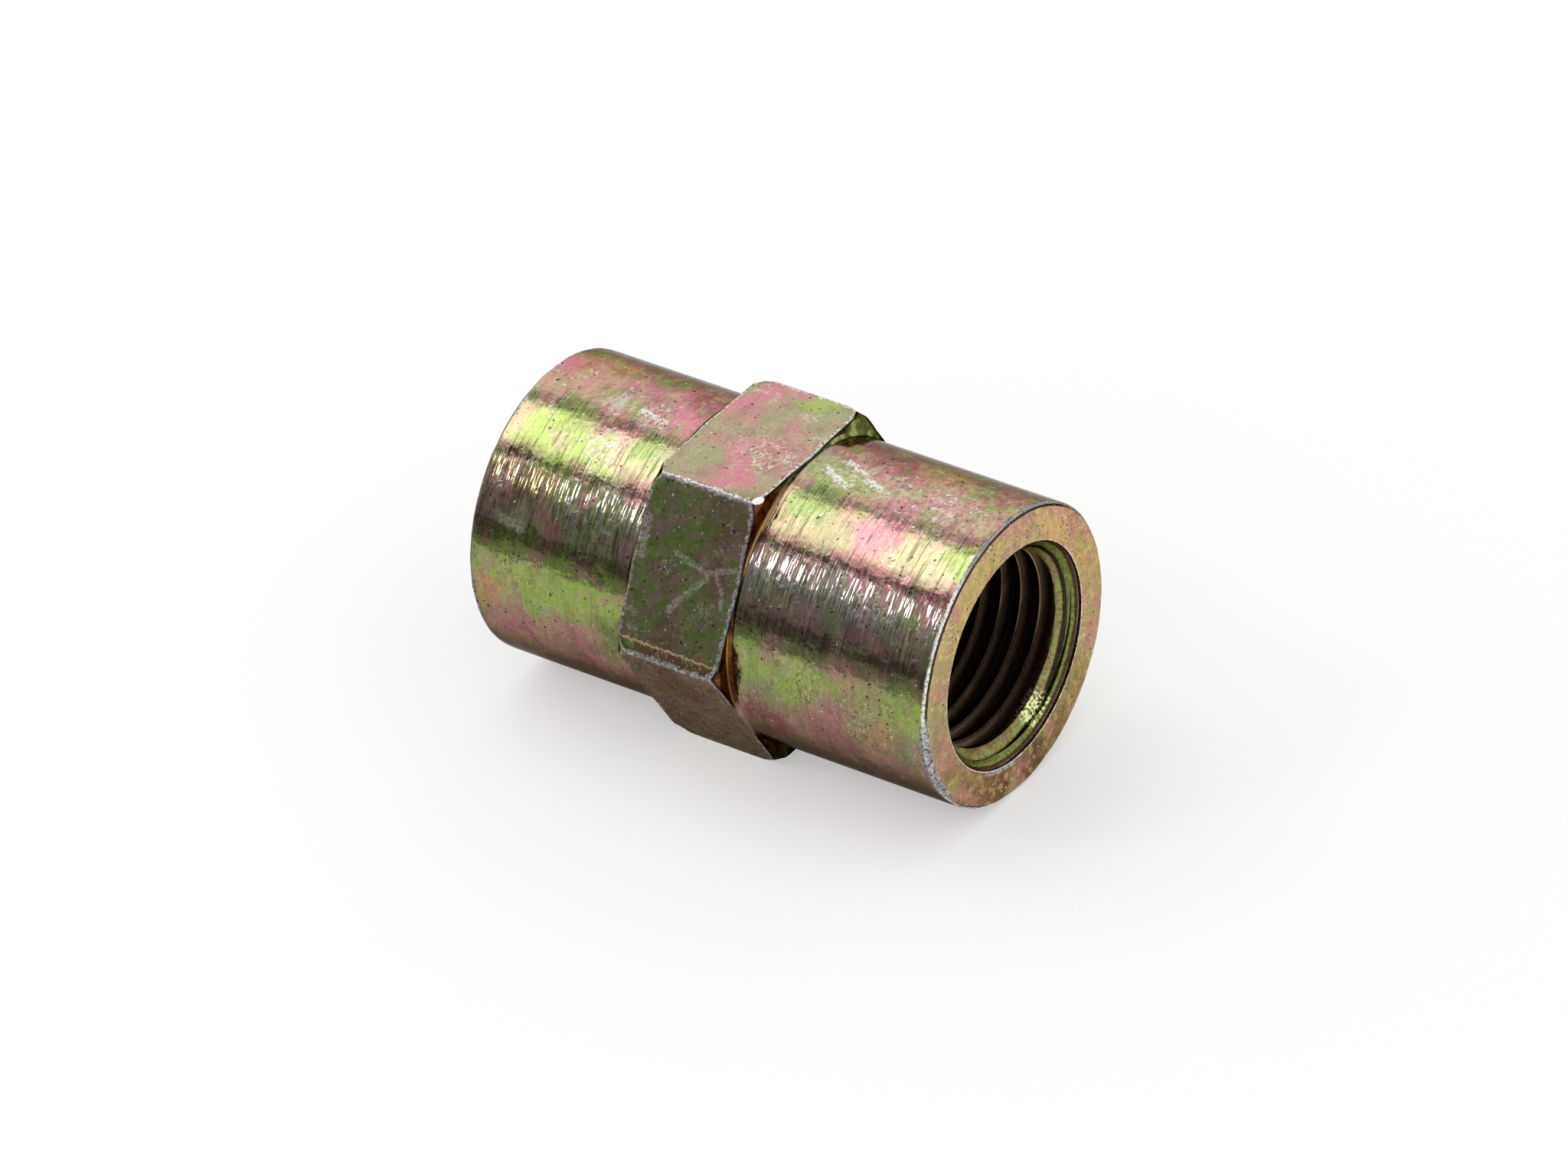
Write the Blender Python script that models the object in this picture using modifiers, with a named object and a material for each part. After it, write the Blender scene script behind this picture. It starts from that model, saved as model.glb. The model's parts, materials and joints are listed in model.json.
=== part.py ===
"""Brake pipe union, turned from hexagon bar, with a tapped pipe port in each end.

The bore axis runs along X, and the +X end is the longer barrel. The union lies on one flat of its
hexagon: z = 0 is that flat, and the origin is the middle of the footprint of the whole part.
"""
import math

import bmesh
import bpy

MM = 0.001
UNION_NAME = "brake_pipe_union"

# The hexagon that takes the spanner
ACROSS_FLATS = 14.0 * MM
HEX_WIDTH = 5.4 * MM
RIDGE_RADIUS = 0.15 * MM
CORNER_CUT = 0.33 * MM
CORNER_CONE_ANGLE = math.radians(45.0)

# The round barrels
FRONT_BARREL_LENGTH = 10.2 * MM
BACK_BARREL_LENGTH = 8.6 * MM
BARREL_DIAMETER = 13.9 * MM
ROOT_RADIUS = 0.2 * MM
END_EDGE_BREAK = 0.14 * MM

# The two pipe ports, drilled for an M10 thread of 1 mm pitch
THREAD_DIAMETER = 10.0 * MM
THREAD_PITCH = 1.0 * MM
MOUTH_DIAMETER = 10.44 * MM
MOUTH_DEPTH = 0.18 * MM
COUNTERSINK_ANGLE = math.radians(90.0)
PORT_DEPTH = 9.3 * MM
SEAT_ANGLE = math.radians(118.0)
PASSAGE_DIAMETER = 3.5 * MM

# How finely the round surfaces are drawn. Each starts at its own share of a step, so that where two
# of them cross, or one crosses a flat or a ridge, no edge runs along another
TURN_STEPS = 96
STEP_ANGLE = math.tau / TURN_STEPS
BODY_START = STEP_ANGLE / 2
FRONT_PORT_START = 0.0
BACK_PORT_START = STEP_ANGLE / 4
PASSAGE_START = STEP_ANGLE / 2
ROOT_STEPS = 4
RIDGE_STEPS = 3
MERGE_DISTANCE = 0.0001 * MM
SHARP_ANGLE = math.radians(25.0)

# How far a cutter stands clear of the surfaces that it passes
CUTTER_MARGIN = 1.0 * MM

# Yellow passivated zinc on steel
FINISH_COLOR = (0.50, 0.42, 0.22, 1.0)
FINISH_METALLIC = 1.0
FINISH_ROUGHNESS = 0.32


def clear_scene():
    """Remove every object, so that the script can be run again."""
    for obj in list(bpy.data.objects):
        bpy.data.objects.remove(obj, do_unlink=True)


def new_collection(name):
    """Return a new collection, linked to the scene."""
    collection = bpy.data.collections.new(name)
    bpy.context.scene.collection.children.link(collection)
    return collection


def new_object(name, mesh, collection, axis):
    """Link an object for the mesh, on the bore axis."""
    obj = bpy.data.objects.new(name, mesh)
    obj.parent = axis
    collection.objects.link(obj)
    return obj


def turned_mesh(name, profile):
    """Return the open profile, as (radius, height) points in the XZ plane, running down its outer side."""
    mesh = bpy.data.meshes.new(name)
    points = [(radius, 0.0, height) for radius, height in profile]
    mesh.from_pydata(points, [(i, i + 1) for i in range(len(points) - 1)], [])
    return mesh


def add_turning(obj):
    """Turn the object's profile about its own Z axis."""
    screw = obj.modifiers.new("turning", "SCREW")
    screw.axis = "Z"
    screw.angle = math.tau
    screw.steps = TURN_STEPS
    screw.render_steps = TURN_STEPS
    screw.use_merge_vertices = True
    screw.merge_threshold = MERGE_DISTANCE
    screw.use_smooth_shade = True


def prism_mesh(name, sides, radius, length):
    """Return a closed prism on the Z axis. With six sides, a flat faces each way along X."""
    mesh = bpy.data.meshes.new(name)
    prism = bmesh.new()
    bmesh.ops.create_cone(
        prism, cap_ends=True, segments=sides, radius1=radius, radius2=radius, depth=length)
    prism.to_mesh(mesh)
    prism.free()
    return mesh


def add_boolean(obj, cutter, operation):
    """Combine the object with a cutter."""
    boolean = obj.modifiers.new(cutter.name, "BOOLEAN")
    boolean.operation = operation
    boolean.solver = "EXACT"
    boolean.object = cutter


def hide_cutter(obj):
    """Show a cutter as a wire frame only."""
    obj.hide_render = True
    obj.display_type = "WIRE"


def shoulder_profile(height, side):
    """Return one shoulder of the hexagon, from its barrel outwards.

    side is 1 at the front shoulder and -1 at the back one: the way that the shoulder faces.
    """
    barrel_radius = BARREL_DIAMETER / 2
    root = []
    for step in range(ROOT_STEPS + 1):
        angle = math.pi / 2 * step / ROOT_STEPS
        radius = barrel_radius + ROOT_RADIUS * (1 - math.cos(angle))
        root.append((radius, height + side * ROOT_RADIUS * (1 - math.sin(angle))))

    # The cone starts inside the ridges, but never in the root, and ends as far outside them
    ridge_distance = ACROSS_FLATS / math.sqrt(3.0)
    face_radius = max(ridge_distance - CORNER_CUT, root[-1][0])
    rim_radius = face_radius + 2 * CORNER_CUT
    cone_depth = (rim_radius - face_radius) * math.tan(CORNER_CONE_ANGLE)
    return root + [(face_radius, height), (rim_radius, height - side * cone_depth)]


def bar_profile():
    """Return the outline that the bar is turned to, before its corners are cut to the hexagon."""
    front_end = half_length()
    back_end = -half_length()
    front_shoulder = shoulder_profile(front_end - FRONT_BARREL_LENGTH, 1)
    back_shoulder = shoulder_profile(back_end + BACK_BARREL_LENGTH, -1)
    end_radius = BARREL_DIAMETER / 2 - END_EDGE_BREAK
    return (
        [(0.0, front_end), (end_radius, front_end), (BARREL_DIAMETER / 2, front_end - END_EDGE_BREAK)]
        + front_shoulder
        + back_shoulder[::-1]
        + [(BARREL_DIAMETER / 2, back_end + END_EDGE_BREAK), (end_radius, back_end), (0.0, back_end)]
    )


def port_profile():
    """Return the hollow of one port, with its mouth at height 0 and its seat below."""
    mouth_radius = MOUTH_DIAMETER / 2
    drill_radius = (THREAD_DIAMETER - THREAD_PITCH) / 2
    countersink_depth = (mouth_radius - drill_radius) / math.tan(COUNTERSINK_ANGLE / 2)
    point_depth = drill_radius / math.tan(SEAT_ANGLE / 2)
    return [
        (0.0, CUTTER_MARGIN),
        (mouth_radius, CUTTER_MARGIN),
        (mouth_radius, -MOUTH_DEPTH),
        (drill_radius, -MOUTH_DEPTH - countersink_depth),
        (drill_radius, -PORT_DEPTH),
        (0.0, -PORT_DEPTH - point_depth),
    ]


def half_length():
    """Return half the length of the whole union."""
    return (FRONT_BARREL_LENGTH + HEX_WIDTH + BACK_BARREL_LENGTH) / 2


def add_bore_axis(collection):
    """Add the empty that carries the union: its Z axis is the bore axis, laid along X."""
    axis = bpy.data.objects.new("bore_axis", None)
    axis.location = (0.0, 0.0, ACROSS_FLATS / 2)
    axis.rotation_euler = (0.0, math.pi / 2, 0.0)
    collection.objects.link(axis)
    return axis


def add_hex_bar(collection, axis):
    """Add the rounded hexagon bar that the union is cut from."""
    length = 2 * (half_length() + CUTTER_MARGIN)
    mesh = prism_mesh("hex_bar", 6, ACROSS_FLATS / math.sqrt(3.0), length)
    bar = new_object("hex_bar", mesh, collection, axis)
    bevel = bar.modifiers.new("ridges", "BEVEL")
    bevel.width = RIDGE_RADIUS * math.tan(math.pi / 6)
    bevel.segments = RIDGE_STEPS
    bevel.limit_method = "ANGLE"
    hide_cutter(bar)
    return bar


def add_ports(collection, axis):
    """Add the hollows of the two ports, which are alike and face opposite ways."""
    mesh = turned_mesh("port", port_profile())
    ports = []
    for name, side, turned_over, start in (
            ("front_port", 1, 0.0, FRONT_PORT_START),
            ("back_port", -1, math.pi, BACK_PORT_START)):
        port = new_object(name, mesh, collection, axis)
        port.location = (0.0, 0.0, side * half_length())
        port.rotation_euler = (turned_over, 0.0, start)
        add_turning(port)
        hide_cutter(port)
        ports.append(port)
    return ports


def add_passage(collection, axis):
    """Add the narrow hole that joins the two ports, from half way down one to half way down the other."""
    length = 2 * half_length() - PORT_DEPTH
    mesh = prism_mesh("passage", TURN_STEPS, PASSAGE_DIAMETER / 2, length)
    passage = new_object("passage", mesh, collection, axis)
    passage.rotation_euler = (0.0, 0.0, PASSAGE_START)
    hide_cutter(passage)
    return passage


def finish_material():
    """Return the yellow passivated zinc."""
    material = bpy.data.materials.new("yellow_passivated_zinc")
    material.use_nodes = True
    shader = material.node_tree.nodes["Principled BSDF"]
    shader.inputs["Base Color"].default_value = FINISH_COLOR
    shader.inputs["Metallic"].default_value = FINISH_METALLIC
    shader.inputs["Roughness"].default_value = FINISH_ROUGHNESS
    return material


def apply_modifiers(obj):
    """Put the object's modifiers into its mesh, then shade it smooth between its real edges."""
    graph = bpy.context.evaluated_depsgraph_get()
    mesh = bpy.data.meshes.new_from_object(obj.evaluated_get(graph))
    mesh.name = obj.name
    obj.modifiers.clear()
    obj.data = mesh
    mesh.shade_smooth()
    mesh.set_sharp_from_angle(angle=SHARP_ANGLE)


def build_union():
    """Build the union as one solid."""
    parts = new_collection(UNION_NAME)
    cutters = new_collection("cutters")
    axis = add_bore_axis(parts)

    body = new_object("union_body", turned_mesh("union_body", bar_profile()), parts, axis)
    body.rotation_euler = (0.0, 0.0, BODY_START)
    add_turning(body)
    add_boolean(body, add_hex_bar(cutters, axis), "INTERSECT")
    add_boolean(body, add_passage(cutters, axis), "DIFFERENCE")
    for port in add_ports(cutters, axis):
        add_boolean(body, port, "DIFFERENCE")

    bpy.context.view_layer.update()
    apply_modifiers(body)
    body.data.materials.clear()
    body.data.materials.append(finish_material())


clear_scene()
build_union()
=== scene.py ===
"""A brake pipe union as a Blender add-on: its turned and threaded body, its plating and a studio.

Lengths are in metres, and in millimetres where a comment or the shader's Places say so. The bore axis
runs along X, with the longer barrel towards +X. Angles round it start straight up and grow towards -Y.
"""

import json
import math

import bmesh
import bpy
from bpy.props import FloatProperty, FloatVectorProperty, PointerProperty
from mathutils import Matrix, Quaternion, Vector, noise


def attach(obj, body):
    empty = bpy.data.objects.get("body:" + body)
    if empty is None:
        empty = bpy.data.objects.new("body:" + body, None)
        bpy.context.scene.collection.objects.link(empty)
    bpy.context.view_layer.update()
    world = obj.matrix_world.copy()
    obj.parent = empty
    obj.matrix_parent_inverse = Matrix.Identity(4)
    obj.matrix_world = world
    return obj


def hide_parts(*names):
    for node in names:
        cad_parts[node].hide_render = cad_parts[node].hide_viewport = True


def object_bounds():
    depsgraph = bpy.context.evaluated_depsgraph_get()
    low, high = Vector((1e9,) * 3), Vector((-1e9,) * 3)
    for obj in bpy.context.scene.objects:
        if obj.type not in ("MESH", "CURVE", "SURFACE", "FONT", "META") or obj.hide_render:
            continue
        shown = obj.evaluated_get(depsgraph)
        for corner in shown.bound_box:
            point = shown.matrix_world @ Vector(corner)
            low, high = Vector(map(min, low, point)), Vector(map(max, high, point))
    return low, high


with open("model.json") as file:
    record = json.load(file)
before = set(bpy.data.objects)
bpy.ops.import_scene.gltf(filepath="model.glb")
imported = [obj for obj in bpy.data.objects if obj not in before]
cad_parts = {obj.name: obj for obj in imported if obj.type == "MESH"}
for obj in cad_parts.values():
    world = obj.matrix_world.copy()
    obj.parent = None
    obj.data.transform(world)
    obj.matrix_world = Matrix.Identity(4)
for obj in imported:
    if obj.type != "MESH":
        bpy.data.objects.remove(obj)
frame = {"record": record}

bl_info = {
    "name": "Brake Pipe Union",
    "version": (1, 0, 0),
    "blender": (4, 5, 0),
    "location": "3D Viewport > Sidebar > Pipe Union",
    "description": "Builds a plated brake pipe union and a studio to show it in",
    "category": "Object",
}

MM = 0.001
MICRON = 0.000001

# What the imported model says
CAD_NODE = "union_body"
CAD_BODY = "root"
CAD_LOW, CAD_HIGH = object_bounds()
MOUNT_PLACES = {mount["name"]: mount["pos_m"] for mount in frame["record"]["mounts"]}
HEXAGON_MIDDLE = MOUNT_PLACES["flat_top"][0]

# How finely the body is drawn
TURN_STEPS = 192
FLATS = 6
RIDGE_OFFSETS = (math.radians(0.27), math.radians(0.534), math.radians(0.75))
ROOT_ROWS = 7
FACE_ROWS = 4
CONE_ROWS = 4
CORNER_ROWS = 5
CORNER_GUARD = 1.6
FLAT_ROWS = 40
FLAT_END_SHARE = 0.01
BARREL_ROW_SPACING = 0.4 * MM
CREST_ROWS = 4
FLANK_ROWS = 4
ROOT_FLAT_ROWS = 2
SNAP_DISTANCE = 0.01 * MM
WELD_DISTANCE = 0.0001 * MM
SHARP_ANGLE = math.radians(35.0)

# The form of the thread
FLANK_ANGLE = math.radians(30.0)
ROOT_FLAT_SHARE = 1 / 8

# The mesh's layer of how far each point lies inside the nearest flat's edge, and what it holds far away
EDGE_LAYER = "edge_distance"
FAR_FROM_FLATS = -4.0 * MM

# How a barrel's rim is worn: everywhere, low down, and by noise, as (pattern, scale, share)
RIM_WEAR = 0.35
LOW_RIM_WEAR = 0.6
RIM_WEAR_MIDDLE = math.radians(112.0)
RIM_WEAR_REACH = 3
RIM_WEAR_NOISE = ((1.0, 6.0, 0.5), (5.0, 22.0, 0.4))

# How the flats' edges are worn, by noise round the bore: at least a share of the worn edge's size, and
# at most one part of so many of the shoulder
EDGE_WEAR = 0.5
EDGE_WEAR_PATTERN = 0.3
EDGE_WEAR_SCALE = 14.0
EDGE_WEAR_SPREAD = 0.9
LEAST_EDGE_WEAR = 0.15
SHOULDER_PARTS = 3

# How the ridges are nicked, by noise as (scale per mm, pattern, share), and how far in their ends wear
NICK_NOISE = ((1.7, 0.0, 1.0), (3.6, 9.0, 0.6))
RIDGE_PATTERN_STEP = 7.0
BLUNT_REACH = 0.60 * MM


def length(name, description, default):
    """Return a property that holds a length."""
    return FloatProperty(
        name=name, description=description, default=default, min=0.0, precision=5, unit="LENGTH")


def angle(name, description, degrees):
    """Return a property that holds an angle, given in degrees."""
    return FloatProperty(
        name=name, description=description, default=math.radians(degrees), subtype="ANGLE")


def level(name, description, default, highest=10.0):
    """Return a property that holds a plain amount."""
    return FloatProperty(name=name, description=description, default=default, min=0.0, max=highest)


def tint(name, description, color):
    """Return a property that holds a colour."""
    return FloatVectorProperty(
        name=name, description=description, default=color, size=3, min=0.0, max=1.0, subtype="COLOR")


class BodySizes(bpy.types.PropertyGroup):
    """The sizes that the union is turned, milled and tapped to"""

    across_flats: length(
        "Across flats", "Width of the hexagon from flat to flat", CAD_HIGH.z - CAD_LOW.z)
    hexagon_width: length("Hexagon width", "Length of the hexagon along the bore", 5.4 * MM)
    ridge_radius: length("Ridge radius", "Rounding of the hexagon bar's ridges", 0.15 * MM)
    corner_cut: length("Corner cut", "How far the turned cone cuts the ridges back", 0.33 * MM)
    worn_edge: length("Worn edge", "How far the edges round the flats are worn", 0.045 * MM)
    barrel_diameter: length("Barrel diameter", "Width of both round barrels", 13.9 * MM)
    root_radius: length("Root radius", "Fillet where a barrel meets the hexagon", 0.2 * MM)
    end_break: length("End break", "Chamfer round the end of a barrel", 0.14 * MM)
    rim_wear: length("Rim wear", "How far the rim of a barrel is worn at most", 0.07 * MM)
    ridge_nicks: length("Ridge nicks", "Depth of the nicks along the hexagon's ridges", 0.035 * MM)
    blunt_corner: length("Blunt corner", "How far the ends of the ridges are worn", 0.12 * MM)
    burr: length("Burr", "Rounding of the turned corners", 0.03 * MM)
    mouth_diameter: length("Mouth diameter", "Width of a port at the end face", 10.44 * MM)
    mouth_depth: length("Mouth depth", "Depth of the straight part of the mouth", 0.18 * MM)
    thread_diameter: length("Thread diameter", "Width of the thread across its roots", 10.0 * MM)
    thread_pitch: length("Thread pitch", "Distance between two turns of the thread", 1.0 * MM)
    first_crest: length("First crest", "Depth of the thread's first crest at the top", 0.622 * MM)
    runout_start: length("Run-out start", "Depth at which the thread starts to fade", 7.4 * MM)
    runout_end: length("Run-out end", "Depth at which the thread has faded away", 8.6 * MM)
    port_depth: length("Port depth", "Depth of the straight part of a port", 9.3 * MM)
    seat_angle: angle("Seat angle", "Angle of the drill point that leaves the seat", 118.0)
    passage_diameter: length("Passage diameter", "Width of the hole between the ports", 3.5 * MM)


class FinishSettings(bpy.types.PropertyGroup):
    """The look of the yellow passivated zinc"""

    roughness: level("Roughness", "Roughness of the unworn plating", 0.14, 1.0)
    turning_height: length("Turning marks", "Height of the turning marks on the barrels", 0.017 * MM)
    grain_height: length("Grain", "Height of the plating's own grain", 0.0014 * MM)
    wave_height: length("Waves", "Height of the broad unevenness of the surface", 0.045 * MM)
    bare_metal: tint("Bare metal", "Colour of the worn edges", (0.60, 0.59, 0.58))
    bright_metal: tint("Bright metal", "Colour of the freshest wear", (0.95, 0.94, 0.90))
    cream: tint("Scratches", "Colour of the scratches in the film", (0.80, 0.74, 0.58))
    lavender: tint("Scuffs", "Colour of the scuffs", (0.66, 0.64, 0.70))
    edge_tint: tint("Edge tint", "Share of light that a glancing view gets back", (0.36, 0.34, 0.32))
    dull: tint("Dull film", "Colour of the dull veil on the film", (0.34, 0.28, 0.21))
    # Also the colour of the painted shade: the dark lines beside the rims and below the flats' edges
    soot_and_painted_shade: tint("Soot", "Colour of the pits and the dirt in corners", (0.03, 0.024, 0.02))
    # Painted shade: the shoulders' dark colours, near and far, stand in for the shade there
    painted_shade_brown: tint("Corner brown", "Colour of the thick film in the near corners", (0.11, 0.04, 0.018))
    painted_shade_olive: tint("Corner olive", "Colour of the thick film in the far corners", (0.13, 0.14, 0.05))
    # Painted highlight: the gold line that the root fillets catch
    fillet_highlight_gold: tint("Fillet gold", "Colour of the root fillets", (0.70, 0.44, 0.18))
    blue_grey: tint("Blue grey", "Colour of the rubbed rim on top", (0.33, 0.34, 0.38))
    # Painted light: the crests take this colour only on the side where light falls into the port
    lit_crest_brown: tint("Crest brown", "Colour of the thread's crests", (0.34, 0.23, 0.11))


class StudioSettings(bpy.types.PropertyGroup):
    """The camera, the lights and the cards round the union"""

    azimuth: angle("Azimuth", "Turn of the camera round the union, from straight in front", 37.32)
    elevation: angle("Elevation", "Height of the camera above the floor, as an angle", 35.54)
    roll: angle("Roll", "Clockwise turn of the camera about its own line of sight", 4.639)
    distance: length("Distance", "From the camera to the point that it looks at", 448.73 * MM)
    lens: FloatProperty(
        name="Lens", description="Focal length of the camera", default=235.64, unit="CAMERA")
    world_level: level("World level", "Light that falls on the union from all round", 0.72)
    box_level: level("Soft box level", "Brightness of the soft box, where 1 is white", 0.88)
    spark_level: level("Small lamp level", "Brightness of the small lamp, where 1 is white", 4.5, 50.0)


class Shoulder:
    """The turned side of the hexagon as one path: its root fillet, its flat face, its corner cone."""

    def __init__(self, sizes):
        self.barrel_radius = sizes.barrel_diameter / 2
        self.root_radius = sizes.root_radius
        self.root_top = self.barrel_radius + self.root_radius
        self.face_radius = sizes.across_flats / math.sqrt(3.0) - sizes.corner_cut
        self.root_travel = self.root_radius * math.pi / 2
        self.face_travel = self.root_travel + self.face_radius - self.root_top

    def travel_to(self, radius):
        """Return how far along the path a radius is reached."""
        if radius <= self.root_top:
            share = 1 - (radius - self.barrel_radius) / self.root_radius
            return self.root_radius * math.acos(share)
        if radius <= self.face_radius:
            return self.root_travel + radius - self.root_top
        return self.face_travel + (radius - self.face_radius) * math.sqrt(2.0)

    def point(self, travel):
        """Return the (distance out from the face, radius) of a place on the path."""
        if travel <= self.root_travel:
            turn = travel / self.root_radius
            rise = self.root_radius * (1 - math.cos(turn))
            return Vector((self.root_radius * (1 - math.sin(turn)), self.barrel_radius + rise))
        if travel <= self.face_travel:
            return Vector((0.0, self.root_top + travel - self.root_travel))
        drop = (travel - self.face_travel) / math.sqrt(2.0)
        return Vector((-drop, self.face_radius + drop))


def bend(start, corner, end, steps):
    """Return the points of a small curve from start to end that a corner draws out."""
    points = []
    for step in range(steps + 1):
        t = step / steps
        points.append(start * (1 - t) ** 2 + corner * 2 * t * (1 - t) + end * t ** 2)
    return points


def soften(profile, reach):
    """Return a profile with a small curve at each inner corner, and a row close beside each curve."""
    points = [profile[0]]
    for before, corner, after in zip(profile, profile[1:], profile[2:]):
        back = (before - corner).normalized()
        ahead = (after - corner).normalized()
        points.append(corner + back * reach * CORNER_GUARD)
        points += bend(corner + back * reach, corner, corner + ahead * reach, CORNER_ROWS)
        points.append(corner + ahead * reach * CORNER_GUARD)
    return points + [profile[-1]]


def spread(profile, spacing):
    """Return a profile with extra points wherever two lie further apart than the spacing."""
    points = [profile[0]]
    for start, end in zip(profile, profile[1:]):
        steps = max(1, math.ceil((end - start).length / spacing))
        points += [start.lerp(end, step / steps) for step in range(1, steps + 1)]
    return points


def hexagon_radius(turn, sizes):
    """Return the distance from the axis to the hexagon bar, with its rounded ridges, at an angle."""
    half_sector = math.pi / FLATS
    from_ridge = abs(turn % (2 * half_sector) - half_sector)
    apothem = sizes.across_flats / 2
    inner = apothem - sizes.ridge_radius
    if from_ridge < half_sector - math.atan2(inner * math.tan(half_sector), apothem):
        middle = inner / math.cos(half_sector)
        return middle * math.cos(from_ridge) + math.sqrt(
            sizes.ridge_radius ** 2 - (middle * math.sin(from_ridge)) ** 2)
    return apothem / math.cos(half_sector - from_ridge)


def ridge_distance(turn, sizes):
    """Return how far a place on a flat lies from the nearest ridge."""
    half_sector = math.pi / FLATS
    from_middle = abs((turn + half_sector) % (2 * half_sector) - half_sector)
    return sizes.across_flats / 2 * (math.tan(half_sector) - math.tan(from_middle))


def ridge_nick(x, turn, sizes):
    """Return how far a ridge is knocked in at a place along it."""
    ridge = math.floor(turn * FLATS / math.tau + 1)
    share = 0.0
    for scale, pattern, part in NICK_NOISE:
        share += part * noise.noise(Vector((x / MM * scale, ridge * RIDGE_PATTERN_STEP, pattern)))
    return sizes.ridge_nicks * min(1.0, max(0.0, share))


def noise_round(turn, pattern, scale):
    """Return noise at an angle round the bore. Each pattern gives other noise."""
    return noise.noise(Vector((math.sin(turn), math.cos(turn), pattern)) * scale)


def worn_rim(point, turn, sizes):
    """Return a (depth, radius) point of a barrel's end, moved in where its rim is worn."""
    away = (point - Vector((0.0, sizes.barrel_diameter / 2))).length
    near = max(0.0, 1 - away / (RIM_WEAR_REACH * sizes.end_break)) ** 2
    low_side = max(0.0, math.cos(turn - RIM_WEAR_MIDDLE)) ** 4
    share = RIM_WEAR + LOW_RIM_WEAR * low_side
    for pattern, scale, part in RIM_WEAR_NOISE:
        share += part * noise_round(turn, pattern, scale)
    return point + Vector((1.0, -1.0)) * sizes.rim_wear * min(1.0, max(0.0, share)) * near


def column_turns():
    """Return the angle of each column of points on the hexagon, and its angle on the round parts.

    The hexagon has extra columns beside each ridge. On the round parts they run into the ridge's own.
    """
    turns = [(math.tau * step / TURN_STEPS,) * 2 for step in range(TURN_STEPS)]
    for ridge in range(FLATS):
        middle = math.tau * (ridge + 0.5) / FLATS
        for offset in RIDGE_OFFSETS:
            turns += [(middle - offset, middle), (middle + offset, middle)]
    return sorted(turns)


def end_profile(sizes, barrel_length):
    """Return (depth, radius) points from the top of the thread, over the end face, to the hexagon."""
    thread_radius = sizes.thread_diameter / 2
    mouth_radius = sizes.mouth_diameter / 2
    barrel_radius = sizes.barrel_diameter / 2
    corners = [
        Vector((thread_top(sizes), thread_radius)),
        Vector((sizes.mouth_depth, mouth_radius)),
        Vector((0.0, mouth_radius)),
        Vector((0.0, barrel_radius - sizes.end_break)),
        Vector((sizes.end_break, barrel_radius)),
        Vector((barrel_length - sizes.root_radius, barrel_radius)),
    ]
    return spread(soften(corners, sizes.burr), BARREL_ROW_SPACING)


def thread_top(sizes):
    """Return the depth at which the mouth's cone has come down to the roots of the thread."""
    return sizes.mouth_depth + (sizes.mouth_diameter - sizes.thread_diameter) / 2


def half_hexagon(turn, shoulder, sizes):
    """Return one shoulder at an angle, as (distance out from the face, radius, distance to the edge).

    It runs from the root up to the edge of the flat, and round that edge.
    """
    top = hexagon_radius(turn, sizes)
    edge_travel = shoulder.travel_to(top)
    dent = EDGE_WEAR + EDGE_WEAR_SPREAD * noise_round(turn, EDGE_WEAR_PATTERN, EDGE_WEAR_SCALE)
    worn = min(sizes.worn_edge * max(dent, LEAST_EDGE_WEAR), edge_travel / SHOULDER_PARTS)
    last = edge_travel - worn
    travels = []
    marks = (0.0, shoulder.root_travel, shoulder.face_travel, edge_travel)
    for start, end, rows in zip(marks, marks[1:], (ROOT_ROWS, FACE_ROWS, CONE_ROWS)):
        start = min(start, last)
        end = min(end, last)
        travels += [start + (end - start) * row / rows for row in range(1, rows + 1)]
    points = [(shoulder.point(travel), travel - edge_travel) for travel in travels]
    corner = shoulder.point(edge_travel)
    corner.y = top
    flat_side = Vector((corner.x - worn, top))
    points += [(point, 0.0) for point in bend(shoulder.point(last), corner, flat_side, CORNER_ROWS)[1:]]
    return points


def hexagon_column(turn, shoulder, sizes):
    """Return the hexagon at an angle, from the front root to the back one, as (x, radius, edge)."""
    half = sizes.hexagon_width / 2
    side = half_hexagon(turn, shoulder, sizes)
    top = side[-1][0].y
    to_ridge = ridge_distance(turn, sizes)
    blunted = sizes.blunt_corner * max(0.0, 1 - to_ridge / BLUNT_REACH)
    if blunted > 0.0:
        shrink = 1 - blunted / (top - shoulder.root_top)
        for point, edge in side:
            if point.y > shoulder.root_top:
                point.y = shoulder.root_top + (point.y - shoulder.root_top) * shrink
    front = [(HEXAGON_MIDDLE + half + point.x, point.y, edge) for point, edge in side]
    back = [(HEXAGON_MIDDLE - half - point.x, point.y, edge) for point, edge in side]
    start = front[-1][0]
    end = back[-1][0]
    flat = []
    for share in [FLAT_END_SHARE, *(row / FLAT_ROWS for row in range(1, FLAT_ROWS)), 1 - FLAT_END_SHARE]:
        x = start + (end - start) * share
        to_edge = min(to_ridge, start - x, x - end)
        nick = ridge_nick(x, turn, sizes) * max(0.0, 1 - to_ridge / sizes.ridge_radius)
        near_end = max(0.0, 1 - min(start - x, x - end) / BLUNT_REACH) ** 2
        flat.append((x, top - nick - blunted * near_end, to_edge))
    return front + flat + back[::-1]


def place(x, radius, turn, sizes):
    """Return the point at a place along the bore axis, a distance from it and an angle round it."""
    return Vector((x, -radius * math.sin(turn), sizes.across_flats / 2 + radius * math.cos(turn)))


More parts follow.
